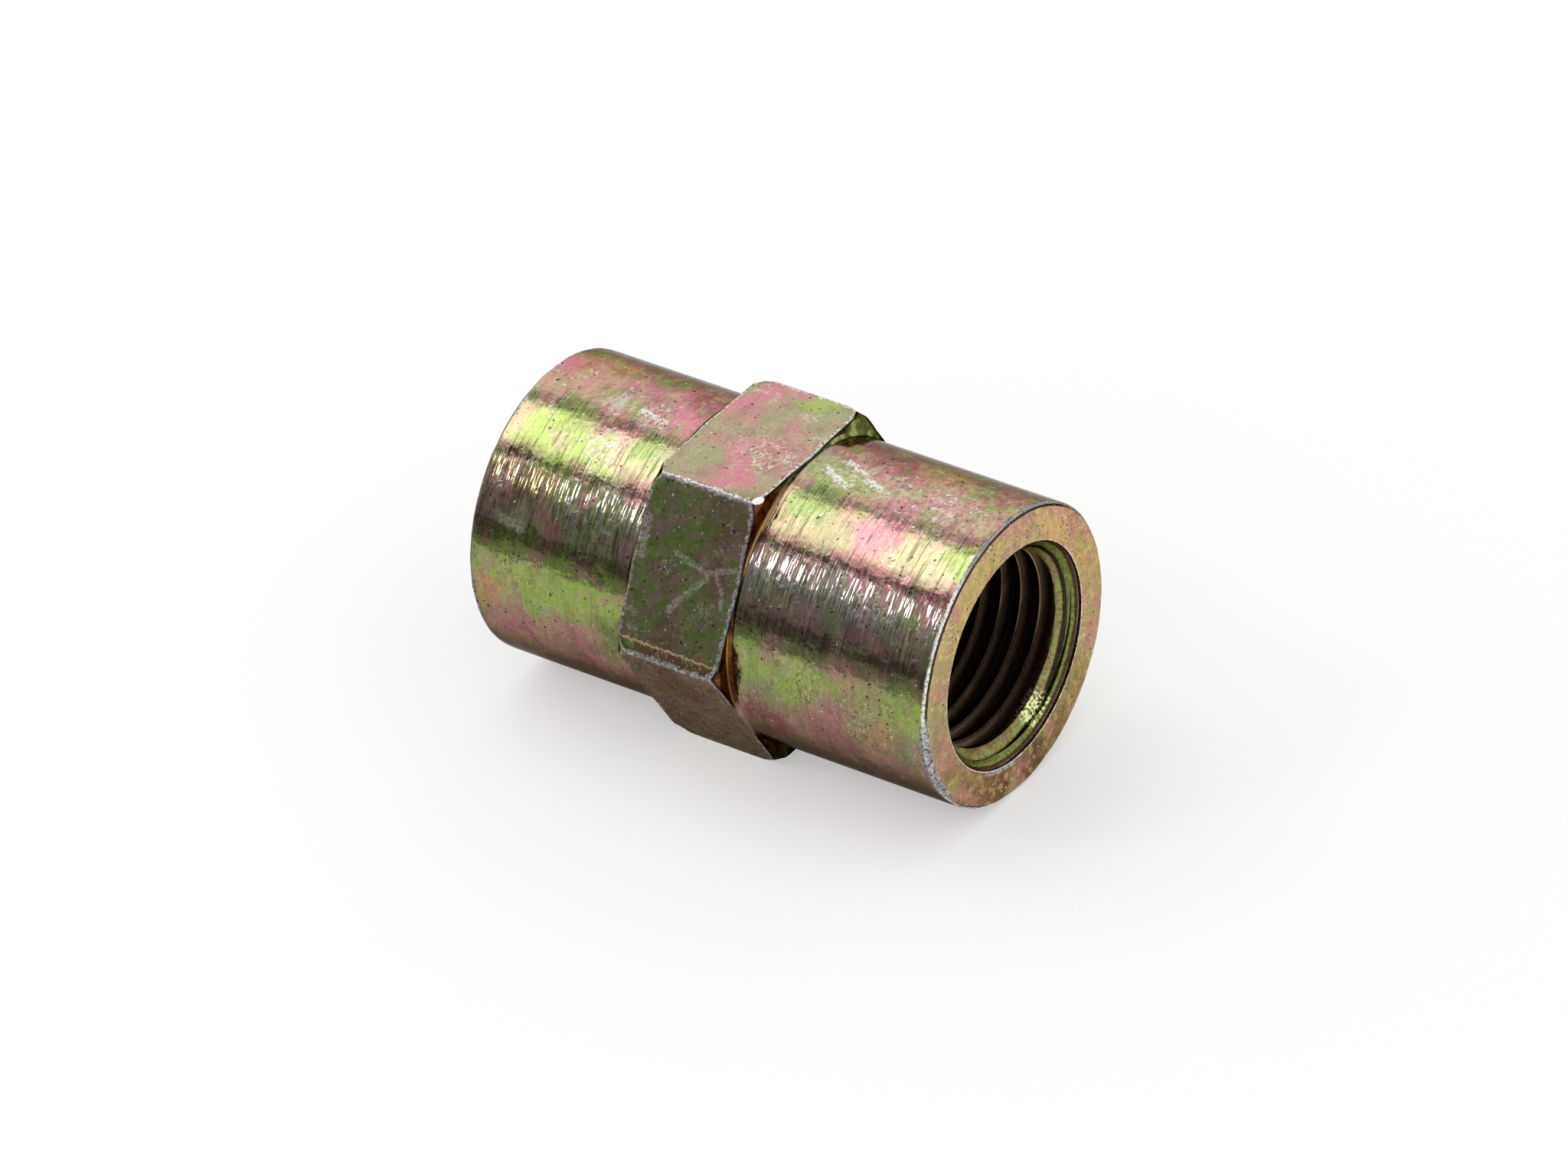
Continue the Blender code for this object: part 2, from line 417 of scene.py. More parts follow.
def add_skin(mesh, columns, shift=0):
    """Join columns of points into a skin all the way round, with shift rows between its two ends."""
    layer = mesh.verts.layers.float[EDGE_LAYER]
    grid = []
    for column in columns:
        verts = []
        for point, edge in column:
            vert = mesh.verts.new(point)
            vert[layer] = edge
            verts.append(vert)
        grid.append(verts)
    for first, second in zip(grid, grid[1:]):
        for row in range(len(first) - 1):
            mesh.faces.new((first[row], first[row + 1], second[row + 1], second[row]))
    for row in range(len(grid[0]) - 1):
        joined = max(row - shift, 0)
        below = max(row + 1 - shift, 0)
        corners = (grid[-1][row], grid[-1][row + 1], grid[0][below], grid[0][joined])
        if joined != below:
            mesh.faces.new(corners)
        else:
            mesh.faces.new(corners[:3])


def add_outside(mesh, sizes):
    """Add the skin from one port's mouth, over the barrels and the hexagon, to the other's."""
    shoulder = Shoulder(sizes)
    half = sizes.hexagon_width / 2
    front_end = end_profile(sizes, CAD_HIGH.x - HEXAGON_MIDDLE - half)
    back_end = end_profile(sizes, HEXAGON_MIDDLE - half - CAD_LOW.x)
    columns = []
    for turn, round_turn in column_turns():
        front = [worn_rim(point, turn, sizes) for point in front_end]
        back = [worn_rim(point, turn, sizes) for point in reversed(back_end)]
        column = [
            (place(CAD_HIGH.x - point.x, point.y, round_turn, sizes), FAR_FROM_FLATS) for point in front]
        column += [
            (place(x, radius, turn, sizes), edge)
            for x, radius, edge in hexagon_column(turn, shoulder, sizes)]
        column += [
            (place(CAD_LOW.x + point.x, point.y, round_turn, sizes), FAR_FROM_FLATS) for point in back]
        columns.append(column)
    add_skin(mesh, columns)


def crest_radius(sizes):
    """Return the radius of the thread's crests, which is that of the drilled hole."""
    return (sizes.thread_diameter - sizes.thread_pitch) / 2


def thread_height(sizes):
    """Return the height of the thread."""
    return sizes.thread_diameter / 2 - crest_radius(sizes)


def thread_form(sizes):
    """Return the depths of the thread's rows within one pitch, and the share of its height at each."""
    flank = thread_height(sizes) * math.tan(FLANK_ANGLE)
    root_flat = sizes.thread_pitch * ROOT_FLAT_SHARE
    crest_flat = sizes.thread_pitch - root_flat - 2 * flank
    rows = []
    depth = -crest_flat / 2
    for span, start, end, steps in (
            (crest_flat, 0.0, 0.0, CREST_ROWS), (flank, 0.0, 1.0, FLANK_ROWS),
            (root_flat, 1.0, 1.0, ROOT_FLAT_ROWS), (flank, 1.0, 0.0, FLANK_ROWS)):
        for step in range(steps):
            share = step / steps
            rows.append((depth + span * share, start + (end - start) * share))
        depth += span
    return rows


def hollow_radius(depth, form, sizes):
    """Return the radius of a port at a depth where the thread alone would stand at this share."""
    fade = (sizes.runout_end - depth) / (sizes.runout_end - sizes.runout_start)
    cut = thread_height(sizes) * max(0.0, min(form, fade))
    cone = sizes.mouth_diameter / 2 - (depth - sizes.mouth_depth)
    return max(crest_radius(sizes) + cut, cone)


def thread_columns(sizes, turns):
    """Return columns of (depth, radius) points whose rows follow the helix, and the rows in a pitch."""
    top = thread_top(sizes)
    bottom = (sizes.runout_end + sizes.port_depth) / 2
    form = thread_form(sizes)
    rows = [(top, 0.0)]
    turn_count = 0
    while rows[-1][0] < bottom + sizes.thread_pitch:
        start = sizes.first_crest + (turn_count - 1) * sizes.thread_pitch
        rows += [(start + depth, height) for depth, height in form if start + depth > top]
        turn_count += 1
    columns = []
    for turn in turns:
        rise = sizes.thread_pitch * turn / math.tau
        column = []
        for depth, height in rows:
            depth -= rise
            if depth < top + SNAP_DISTANCE:
                column.append((top, sizes.thread_diameter / 2))
            elif depth > bottom - SNAP_DISTANCE:
                column.append((bottom, hollow_radius(bottom, 0.0, sizes)))
            else:
                column.append((depth, hollow_radius(depth, height, sizes)))
        columns.append(column)
    return columns, len(form)


def add_port(mesh, sizes, turned_round):
    """Add the hollow of one port, from the top of its thread to the middle of the passage."""
    turns = [math.tau * step / TURN_STEPS for step in range(TURN_STEPS)]
    move = Matrix.Rotation(turned_round, 4, "Z")

    def placed(depth, radius, turn):
        return move @ place(CAD_HIGH.x - depth, radius, turn, sizes), FAR_FROM_FLATS

    columns, rows_in_pitch = thread_columns(sizes, turns)
    threads = [
        [placed(depth, radius, turn) for depth, radius in column]
        for turn, column in zip(turns, columns)]
    add_skin(mesh, threads, rows_in_pitch)

    drill_radius = crest_radius(sizes)
    passage_radius = sizes.passage_diameter / 2
    seat_depth = (drill_radius - passage_radius) / math.tan(sizes.seat_angle / 2)
    bottom = [
        Vector(columns[0][-1]),
        Vector((sizes.port_depth, drill_radius)),
        Vector((sizes.port_depth + seat_depth, passage_radius)),
        Vector((CAD_HIGH.x, passage_radius)),
    ]
    add_skin(mesh, [[placed(point.x, point.y, turn) for point in bottom] for turn in turns])


def union_mesh(sizes):
    """Return the whole union as one closed mesh."""
    mesh = bmesh.new()
    mesh.verts.layers.float.new(EDGE_LAYER)
    add_outside(mesh, sizes)
    add_port(mesh, sizes, 0.0)
    add_port(mesh, sizes, math.pi)
    bmesh.ops.remove_doubles(mesh, verts=mesh.verts, dist=WELD_DISTANCE)
    bmesh.ops.recalc_face_normals(mesh, faces=mesh.faces)
    data = bpy.data.meshes.new("pipe_union")
    mesh.to_mesh(data)
    mesh.free()
    data.shade_smooth()
    data.set_sharp_from_angle(angle=SHARP_ANGLE)
    return data


# How dots, lines, patches and strokes are spaced and fade, as shares of their size or reach
DOT_SHRINK = 0.6
DOT_CORE = 0.7
DASH_SPACING = 1.5
LINE_CORE = 0.4
PATCH_CORE = 0.5
PATCH_END = 1.25
STROKE_CORE = 0.5
STROKE_END = 1.1
HARD_STEP = 0.001

# How places on the unrolled surface are moved about by noise, as its scale and the reach in mm
SWAY = (0.7, 2.2)
SHAKE = (3.5, 0.22)

BLACK = (0.0, 0.0, 0.0)


def full_color(color):
    """Return a colour with its alpha. A plain number stands for a grey."""
    return (*color, 1.0) if hasattr(color, "__len__") else (color, color, color, 1.0)


def set_stops(ramp, stops):
    """Give a colour ramp its (position, colour) stops."""
    while len(ramp.elements) < len(stops):
        ramp.elements.new(0.5)
    for element, (position, color) in zip(ramp.elements, stops):
        element.position = position
        element.color = full_color(color)


class Field:
    """A number, vector or colour that varies over a surface. Its operators add the nodes for it."""

    def __init__(self, tree, socket=None):
        self.tree = tree
        self.socket = socket

    def node(self, kind, settings=None, sockets=None, output=0):
        """Add a node: first its settings, then the values or links of its sockets. Return one output."""
        made = self.tree.nodes.new(kind)
        for name, value in (settings or {}).items():
            if name == "stops":
                set_stops(made.color_ramp, value)
            elif name == "interpolation":
                made.color_ramp.interpolation = value
            else:
                setattr(made, name, value)
        for name, value in (sockets or {}).items():
            socket = made.inputs[name]
            if isinstance(value, Field):
                self.tree.links.new(value.socket, socket)
            elif socket.type == "RGBA":
                socket.default_value = full_color(value)
            elif socket.type == "VECTOR" and not hasattr(value, "__len__"):
                socket.default_value = (value, value, value)
            else:
                socket.default_value = value
        return Field(self.tree, made.outputs[output])

    def other(self, output):
        """Return another output of the node that this one comes from."""
        return Field(self.tree, self.socket.node.outputs[output])

    def mixed(self, share, first, second, **settings):
        """Return a mix of two colours."""
        sockets = {0: share, 6: first, 7: second}
        return self.node("ShaderNodeMix", {"data_type": "RGBA", **settings}, sockets, 2)

    def joined(self, operation, first, second):
        """Add the node that an operator stands for.

        A vector with a colour gives a vector. A colour times a number that varies is a mix from black,
        whose share isn't clamped, so that the number may be over 1.
        """
        kinds = {value.socket.type for value in (first, second) if isinstance(value, Field)}
        if operation == "MULTIPLY" and kinds == {"RGBA", "VALUE"}:
            share, color = (first, second) if first.socket.type == "VALUE" else (second, first)
            return self.mixed(share, BLACK, color, clamp_factor=False)
        if "RGBA" in kinds and "VECTOR" not in kinds:
            return self.mixed(1.0, first, second, blend_type=operation)
        kind = "ShaderNodeVectorMath" if "VECTOR" in kinds else "ShaderNodeMath"
        return self.node(kind, {"operation": operation}, {0: first, 1: second})

    def __add__(self, other):
        return self.joined("ADD", self, other)

    def __radd__(self, other):
        return self.joined("ADD", other, self)

    def __sub__(self, other):
        return self.joined("SUBTRACT", self, other)

    def __rsub__(self, other):
        return self.joined("SUBTRACT", other, self)

    def __mul__(self, other):
        return self.joined("MULTIPLY", self, other)

    def __rmul__(self, other):
        return self.joined("MULTIPLY", other, self)

    def __truediv__(self, other):
        return self.joined("DIVIDE", self, other)

    def __rtruediv__(self, other):
        return self.joined("DIVIDE", other, self)

    def maths(self, operation, *others):
        """Return a Math node's result on this number and any others."""
        return self.node("ShaderNodeMath", {"operation": operation}, dict(enumerate((self, *others))))

    def vector_maths(self, operation, *others):
        """Return the number that a Vector Math node finds from this vector and any others."""
        sockets = dict(enumerate((self, *others)))
        return self.node("ShaderNodeVectorMath", {"operation": operation}, sockets, "Value")

    def step(self, low, high, under, over):
        """Return under where this number is under low and over where it is over high, softly."""
        settings = {"interpolation_type": "SMOOTHSTEP", "clamp": True}
        sockets = {"Value": self, "From Min": low, "From Max": high, "To Min": under, "To Max": over}
        return self.node("ShaderNodeMapRange", settings, sockets)

    def above(self, low, high):
        """Return 0 where this number is under low and 1 where it is over high."""
        return self.step(low, high, 0.0, 1.0)

    def below(self, low, high):
        """Return 1 where this number is under low and 0 where it is over high."""
        return self.step(low, high, 1.0, 0.0)

    def within(self, steps):
        """Return 1 between two soft steps, each given by where it starts and ends, and 0 outside them."""
        return self.above(*steps[:2]) * self.below(*steps[2:])

    def kept_within(self, number, steps):
        """Return this mask where another number lies between two such steps, and 0 elsewhere."""
        return self * number.above(*steps[:2]) * number.below(*steps[2:])

    def dots(self, spacing, size, share):
        """Return 1 in dots of up to a size, in a share of the cells of a flat pattern."""
        settings = {"voronoi_dimensions": "2D"}
        cells = self.node("ShaderNodeTexVoronoi", settings, {"Vector": self, "Scale": 1 / spacing})
        picks = self.node("ShaderNodeSeparateColor", sockets={0: cells.other("Color")})
        radius = size / 2 / spacing
        distance = cells + picks.other("Green") * (radius * DOT_SHRINK)
        return distance.below(radius * DOT_CORE, radius) * picks.below(share, share + HARD_STEP)

    def dashes(self, direction, length, width, share):
        """Return 1 in short strokes of up to a length and width that run in a direction, in degrees."""
        sockets = {
            "Vector": self,
            "Rotation": (0.0, 0.0, math.radians(-direction)),
            "Scale": (length, width, 1.0),
        }
        turned = self.node("ShaderNodeMapping", {"vector_type": "TEXTURE"}, sockets)
        return turned.dots(DASH_SPACING, 1.0, share)

    def squiggles(self, scale, width):
        """Return 1 on thin lines that wander at this scale."""
        return (self.noise(scale, 1.0, 0.5) - 0.5).maths("ABSOLUTE").below(width * LINE_CORE, width)

    def noise(self, scale, detail, roughness):
        """Return noise at this place, which may be stretched by a scale for each direction."""
        stretched = hasattr(scale, "__len__")
        sockets = {
            "Vector": self * scale if stretched else self,
            "Scale": 1.0 if stretched else scale,
            "Detail": detail,
            "Roughness": roughness,
        }
        return self.node("ShaderNodeTexNoise", sockets=sockets)

    def ramp(self, stops, interpolation="LINEAR"):
        """Return the colour that this number picks from a ramp's (position, colour) stops."""
        settings = {"stops": stops, "interpolation": interpolation}
        return self.node("ShaderNodeValToRGB", settings, {"Fac": self})

    def grey(self):
        """Return the brightness of this colour."""
        return self.node("ShaderNodeRGBToBW", sockets={"Color": self})

    def between(self, first, second):
        """Return a colour that goes from first to second as this number goes from 0 to 1."""
        return self.mixed(self, first, second)

    def turned_to(self, other, share):
        """Return this number or colour, moved towards another by a share."""
        if self.socket.type == "RGBA":
            return self.mixed(share, self, other)
        return self.node("ShaderNodeMix", {"data_type": "FLOAT"}, {0: share, 2: self, 3: other})


# The colours of the film
OLIVE = (0.24, 0.29, 0.10)
LIME = (0.43, 0.57, 0.15)
CREAM = (0.60, 0.54, 0.30)
TAN = (0.54, 0.40, 0.22)
SALMON = (0.64, 0.39, 0.29)
CORAL = (0.72, 0.40, 0.35)
BLUSH = (0.76, 0.52, 0.44)
PINK = (0.74, 0.28, 0.35)
MAROON = (0.45, 0.19, 0.19)
RUSSET = (0.44, 0.24, 0.20)
BRICK = (0.68, 0.34, 0.25)
KHAKI = (0.49, 0.40, 0.27)
DRAB = (0.46, 0.40, 0.22)
BONE = (0.66, 0.64, 0.52)
SAGE = (0.42, 0.45, 0.24)
GREEN = (0.31, 0.43, 0.13)
DEEP_GREEN = (0.24, 0.34, 0.08)
# Painted highlight: green patches on the far shoulders
MOSS_HIGHLIGHT = (0.30, 0.36, 0.14)
LEAF = (0.42, 0.58, 0.13)
ORANGE = (0.66, 0.40, 0.18)
HONEY = (0.70, 0.50, 0.20)
ROSE = (0.58, 0.28, 0.27)
DULL_ROSE = (0.48, 0.30, 0.30)
BROWN = (0.34, 0.21, 0.16)
CHESTNUT = (0.46, 0.31, 0.23)
UMBER = (0.24, 0.16, 0.10)
PEWTER = (0.38, 0.35, 0.31)
MAUVE = (0.46, 0.30, 0.26)

# The colours of single marks and worn places, and of painted highlights and glints
# Painted glints: the streaks along the barrels where the small lamp is reflected
PAINTED_GLINT_GOLD = (0.85, 0.66, 0.34)
SCRATCH_GOLD = (0.80, 0.62, 0.24)
LINE_GOLD = (0.95, 0.62, 0.32)
LINE_RUST = (0.36, 0.15, 0.07)
# Painted highlight: the gold ring at the top of the near root fillets
RING_HIGHLIGHT_GOLD = (0.95, 0.62, 0.25)
EDGE_GREY = (0.42, 0.42, 0.47)
RIM_GREY = (0.40, 0.39, 0.42)
# Painted highlight: the white spot on a burr at a ridge's front end
BURR_HIGHLIGHT_WHITE = (1.0, 1.0, 0.98)
FLANK_BROWN = (0.30, 0.19, 0.12)
# Painted glints low inside the ports
GLINT_YELLOW = (0.95, 1.0, 0.50)
CRUMB_YELLOW = (0.92, 0.82, 0.52)

# The film's colour round the barrels, by the angle in degrees from the top towards -Y
BARREL_COLORS = (
    (-180, BROWN), (-130, GREEN), (-95, TAN), (-62, SAGE), (-38, KHAKI), (-22, RUSSET), (-8, ROSE),
    (3, SALMON), (12, SALMON), (20, CREAM), (31, CREAM), (36, MAROON), (42, MAUVE), (52, PEWTER),
    (62, MAUVE), (70, OLIVE), (84, LEAF), (93, SAGE), (100, TAN), (107, CORAL), (124, CHESTNUT),
    (145, MAROON), (180, BROWN))

# How strongly the film is mottled there
MOTTLING = (
    (-180, 0.7), (14, 0.6), (23, 0.30), (33, 0.30), (40, 0.6), (75, 0.5), (84, 0.30), (180, 0.5))

# The same on the hexagon, where each flat has its own colour
FLAT_COLORS = (
    (-180, BROWN), (-150, GREEN), (-90, ROSE), (-30, KHAKI), (30, GREEN), (90, BLUSH), (150, BROWN))
FLAT_MOTTLING = 0.30

# The colour of the end faces, by the angle round the bore and darkest at the bottom, and of their spots
FACE_COLORS = (
    (-180, (0.21, 0.12, 0.08)), (-136, (0.41, 0.30, 0.14)), (-102, (0.55, 0.42, 0.21)),
    (-60, (0.60, 0.37, 0.18)), (-36, (0.72, 0.50, 0.22)), (-10, (0.52, 0.33, 0.24)),
    (14, (0.62, 0.47, 0.20)), (55, (0.58, 0.44, 0.21)), (90, (0.43, 0.35, 0.21)),
    (125, (0.42, 0.27, 0.14)), (158, (0.28, 0.16, 0.09)), (180, (0.21, 0.12, 0.08)))
FACE_PINK = (0.62, 0.30, 0.26)
FACE_GREEN = (0.46, 0.46, 0.17)

# The colour inside a port, by the depth in millimetres: its mouth, its cone and the top of its thread,
# with painted shadow in a dark ring at the thread's start and painted shade that makes all that lies
# deeper than about 1.2 mm dark
PORT_REACH = 2.0
PORT_COLORS_AND_SHADE = (
    (0.0, (0.09, 0.05, 0.035)), (0.29, (0.08, 0.045, 0.03)), (0.32, (0.20, 0.24, 0.06)),
    (0.52, (0.17, 0.18, 0.06)), (0.55, (0.04, 0.028, 0.02)), (0.66, (0.04, 0.028, 0.02)),
    (0.71, (0.30, 0.25, 0.10)), (1.05, (0.20, 0.14, 0.07)), (1.20, (0.055, 0.036, 0.025)),
    (2.0, (0.055, 0.036, 0.025)))

# Places with a colour of their own, as (mm along the bore, angle, reach in mm, colour)
BARREL_PATCHES = (
    (-11.7, -8, 0.8, PINK), (-10.0, -14, 1.6, ORANGE), (-9.2, 1, 1.3, SALMON), (-5.0, -3, 1.6, PINK),
    (-4.4, -12, 1.2, MAROON), (-9.5, 15, 1.2, OLIVE), (-9.8, 27, 1.9, LIME), (-6.4, 27, 1.2, CREAM),
    (-7.7, 32, 1.4, LIME), (-4.9, 21, 1.3, GREEN), (-7.0, 14, 0.9, MAROON), (-10.4, 46, 1.5, UMBER),
    (-8.0, 47, 1.6, OLIVE), (-5.4, 48, 1.8, OLIVE), (-9.3, 79, 2.4, LEAF), (-6.0, 80, 2.2, LEAF),
    (-11.4, 95, 1.2, ORANGE), (-4.5, 94, 1.2, OLIVE), (-6.2, 102, 1.5, ROSE), (-10.0, 106, 1.3, ROSE),
    (2.9, 0, 1.4, SAGE), (3.9, 13, 1.7, LIME), (5.5, -15, 1.5, MAROON), (7.8, 11, 1.4, PINK),
    (9.2, -5, 1.6, SALMON), (10.5, 2, 1.2, SALMON), (7.1, 23, 1.5, PINK), (7.9, -18, 1.2, ORANGE),
    (3.2, -14, 1.1, MAROON), (4.6, 27, 1.5, DRAB), (3.3, 19, 1.3, GREEN), (9.6, 24, 1.3, CREAM),
    (11.5, 21, 0.8, LIME), (10.9, 51, 0.8, LIME), (5.2, 86, 1.2, LEAF), (8.3, 77, 1.2, TAN),
    (11.0, 82, 1.5, LEAF), (11.2, 102, 1.0, SAGE), (7.2, 101, 2.0, ROSE), (3.3, 108, 1.5, MAROON),
    (10.0, 95, 1.0, ORANGE), (-8.0, 3, 0.5, BONE), (-7.4, 11, 0.5, BRICK))
FLAT_PATCHES = (
    (-2.5, -28, 1.1, PINK), (-2.8, -12, 1.1, PINK), (-0.1, -28, 1.0, LEAF), (0.8, -22, 0.8, SAGE),
    (-1.3, 9, 1.2, PINK), (-0.6, 20, 1.5, PINK), (0.7, 3, 1.4, ROSE), (0.4, -10, 0.8, PINK),
    (-2.4, 18, 1.3, SAGE), (-2.5, 43, 0.8, MAUVE), (-1.6, 62, 0.8, MAUVE), (1.0, 38, 1.3, BROWN),
    (0.5, 57, 0.9, MAROON), (-1.0, 87, 1.2, BROWN), (0.9, 84, 0.7, ORANGE), (-1.0, 106, 1.5, ROSE))

# Where the scratches gather, as (mm along the bore, angle, reach in mm)
SCRATCHED_PLACES = (
    (0.4, 8, 1.6), (4.0, 4, 1.5), (6.8, 3, 1.3), (9.4, 4, 1.7), (-7.9, 4, 0.9), (-6.0, 4, 1.2),
    (-7.0, 24, 1.3), (-10.0, 81, 1.1), (5.5, 82, 1.7), (9.0, 92, 2.0))

# Single marks, as the (mm along the bore, angle) of both ends, and the width in mm
SCUFFS = (
    ((-1.5, 53), (0.3, 56.5), 0.16), ((-1.2, 73), (0.3, 58), 0.20), ((0.3, 56), (1.7, 52), 0.16),
    ((0.6, 55), (1.2, 61), 0.13), ((1.2, 61), (1.3, 67), 0.12), ((-10.6, 62), (-9.4, 63), 0.30),
    ((-3.2, 44), (-3.2, 58), 0.22))
SILVER_MARKS = (
    ((2.9, 2.4), (4.5, 7.8), 0.24), ((3.5, -5.5), (4.7, -1.0), 0.20), ((5.0, 1.5), (5.9, 4.0), 0.26),
    ((-6.6, 5), (-5.2, 7), 0.20))
GOLD_LINE = ((-3.3, 85.8), (1.6, 86.1), 0.05)
RUST_LINE = ((-2.4, 88.0), (1.5, 88.2), 0.20)
BURR_PLACE = (1.86, -3.86, 6.98)
BURR_STRETCH = (1.0, 1.0, 1.9)

# Where one surface passes into the next, by the distance in mm from the flats' edge, from the bore
# axis, over the rim or along the bore, and the near flat by its angle in radians
FLATS_START = (-0.004, 0.004)
SHOULDERS_START = (-3.0, -2.5)
PORTS_END = (5.20, 5.22)
FACES_END = (-0.15, -0.13)
BARRELS_START = (0.13, 0.15)
NEAR_FLAT_START = (0.522, 0.526)
BACK_EDGE_END = (-3.2, -2.9)
FILLETS_END = (6.99, 7.03)

# Sides of the union, by the angles in radians between which they fade in, and then out
TOP_SIDE = (-0.5, -0.2, 0.25, 0.5)
LINED_SIDE = (0.05, 0.35, 1.05, 1.25)
# Where the barrels carry painted glints over a painted shade
PAINTED_GLINT_SIDE = (0.66, 0.74, 0.88, 1.02)
LOW_SIDE_START = (1.15, 1.35)
UNWORN_SIDE = (1.80, 1.90, 2.15, 2.30)
NEAR_SIDE = (0.15, 0.45, 2.4, 2.7)
# Where the root fillets carry painted highlights, along them and in a ring (this line and the next)
FILLET_HIGHLIGHT_SIDE = (0.2, 0.5, 0.9, 1.1)
HIGHLIGHT_RING_SIDE = (1.22, 1.32, 1.84, 1.90)
# Where the rims carry a line of painted shade
PAINTED_SHADE_RIM_SIDE = (-1.0, -0.6, 1.40, 1.60)
WIDE_RIM_SIDE = (1.40, 1.60, 2.1, 2.4)
# Where the crests carry painted light (this line), and where the ports carry painted glints (the next)
LIT_CREST_SIDE = (-2.2, -1.8, -0.8, -0.5)
GLINT_SIDE = (-2.92, -2.80, -2.60, -2.48)
WORN_MOUTH_SIDE = (2.55, 2.75, 3.0, 3.1)
FACE_TOP_SIDE = (-1.35, -1.0, 0.3, 0.6)

# Rings round the bore, in the same way: by the radius, over the rim, and by the depth, all in mm
# The painted highlight at the top of the root fillets
HIGHLIGHT_RING = (7.06, 7.10, 7.15, 7.19)
CREST_RING = (4.502, 4.51, 4.56, 4.60)
MOUTH_RING = (5.17, 5.20, 5.25, 5.29)
RUBBED_RIM = (-0.04, 0.01, 0.18, 0.23)
# The rims' line of painted shade, beside the face
PAINTED_SHADE_RIM = (-0.20, -0.17, -0.04, -0.01)
WIDE_RIM = (-0.34, -0.28, 0.26, 0.34)
THREAD_TOP = (0.65, 0.72, 1.05, 1.15)
# Depths of the crests' painted light, and of the ports' painted glints
CREST_DEPTHS = (1.0, 1.3, 3.0, 5.5)
GLINT_DEPTHS = (0.28, 0.36, 1.05, 1.25)


def round_stops(stops):
    """Return a ramp's stops from ones that are given by angle."""
    return [((degrees + 180) / 360, value) for degrees, value in stops]


def strongest(masks):
    """Return the strongest of several masks everywhere, joined one by one as they are made."""
    result = None
    for mask in masks:
        result = mask if result is None else result.maths("MAXIMUM", mask)
    return result


class Places:
    """Where a shaded point lies on the union, in millimetres and radians."""

    def __init__(self, tree, sizes):
        start = Field(tree)
        where = start.node("ShaderNodeTexCoord", output="Object")
        self.spot = (where - (0.0, 0.0, sizes.across_flats / 2)) * (1 / MM)
        self.x = start.node("ShaderNodeSeparateXYZ", sockets={0: self.spot})
        y = self.x.other("Y")
        z = self.x.other("Z")
        self.radius = (y * y + z * z).maths("SQRT")
        self.turn = (0.0 - y).maths("ARCTAN2", z)
        self.edge = start.node("ShaderNodeAttribute", {"attribute_name": EDGE_LAYER}, output="Fac") / MM
        self.depth = (CAD_HIGH.x - CAD_LOW.x) / 2 / MM - self.x.maths("ABSOLUTE")
        self.barrel_radius = sizes.barrel_diameter / 2 / MM
        self.over_rim = self.depth + self.radius - self.barrel_radius
        inwards = self.barrel_radius - self.radius.maths("MINIMUM", self.barrel_radius)
        along = self.x + self.x.maths("SIGN") * inwards
        around = self.turn * self.barrel_radius
        self.swayed = self.unrolled(along, around, *SWAY)
        self.shaken = self.unrolled(along, around, *SHAKE)

    def unrolled(self, along, around, scale, reach):
        """Return where this point lies on the unrolled surface, moved about by noise of a scale."""
        sway = self.spot.noise(scale, 1.0, 0.5) - 0.5
        other_sway = (self.spot + 41.0).noise(scale, 1.0, 0.5) - 0.5
        sockets = {"X": along + sway * reach, "Y": around + other_sway * reach}
        return along.node("ShaderNodeCombineXYZ", sockets=sockets)

    def point(self, x, degrees):
        """Return a place on the unrolled surface."""
        return Vector((x, math.radians(degrees) * self.barrel_radius, 0.0))

    def near(self, x, degrees, reach, fraying=0.0):
        """Return 1 round a place, fading out at about this reach."""
        distance = self.swayed.vector_maths("DISTANCE", self.point(x, degrees)) + fraying
        return distance.below(reach * PATCH_CORE, reach * PATCH_END)

    def patched(self, color, patches, strength, fraying=0.0):
        """Return a colour with patches laid over it."""
        for x, degrees, reach, shade in patches:
            color = color.turned_to(shade, self.near(x, degrees, reach, fraying) * strength)
        return color

    def stroke(self, start, end, width):
        """Return 1 on a line between two places."""
        first = self.point(*start)
        last = self.point(*end)
        ahead = (last - first).normalized()
        aside = Vector((-ahead.y, ahead.x, 0.0))
        half = (last - first).length / 2
        along = self.shaken.vector_maths("DOT_PRODUCT", ahead) - ahead.dot(first.lerp(last, 0.5))
        across = self.shaken.vector_maths("DOT_PRODUCT", aside) - aside.dot(first)
        across = across.maths("ABSOLUTE").below(width * STROKE_CORE, width * STROKE_END)
        return across * along.maths("ABSOLUTE").below(half, half + width)

    def strokes(self, marks):
        """Return 1 on several such lines."""
        return strongest(self.stroke(*mark) for mark in marks)


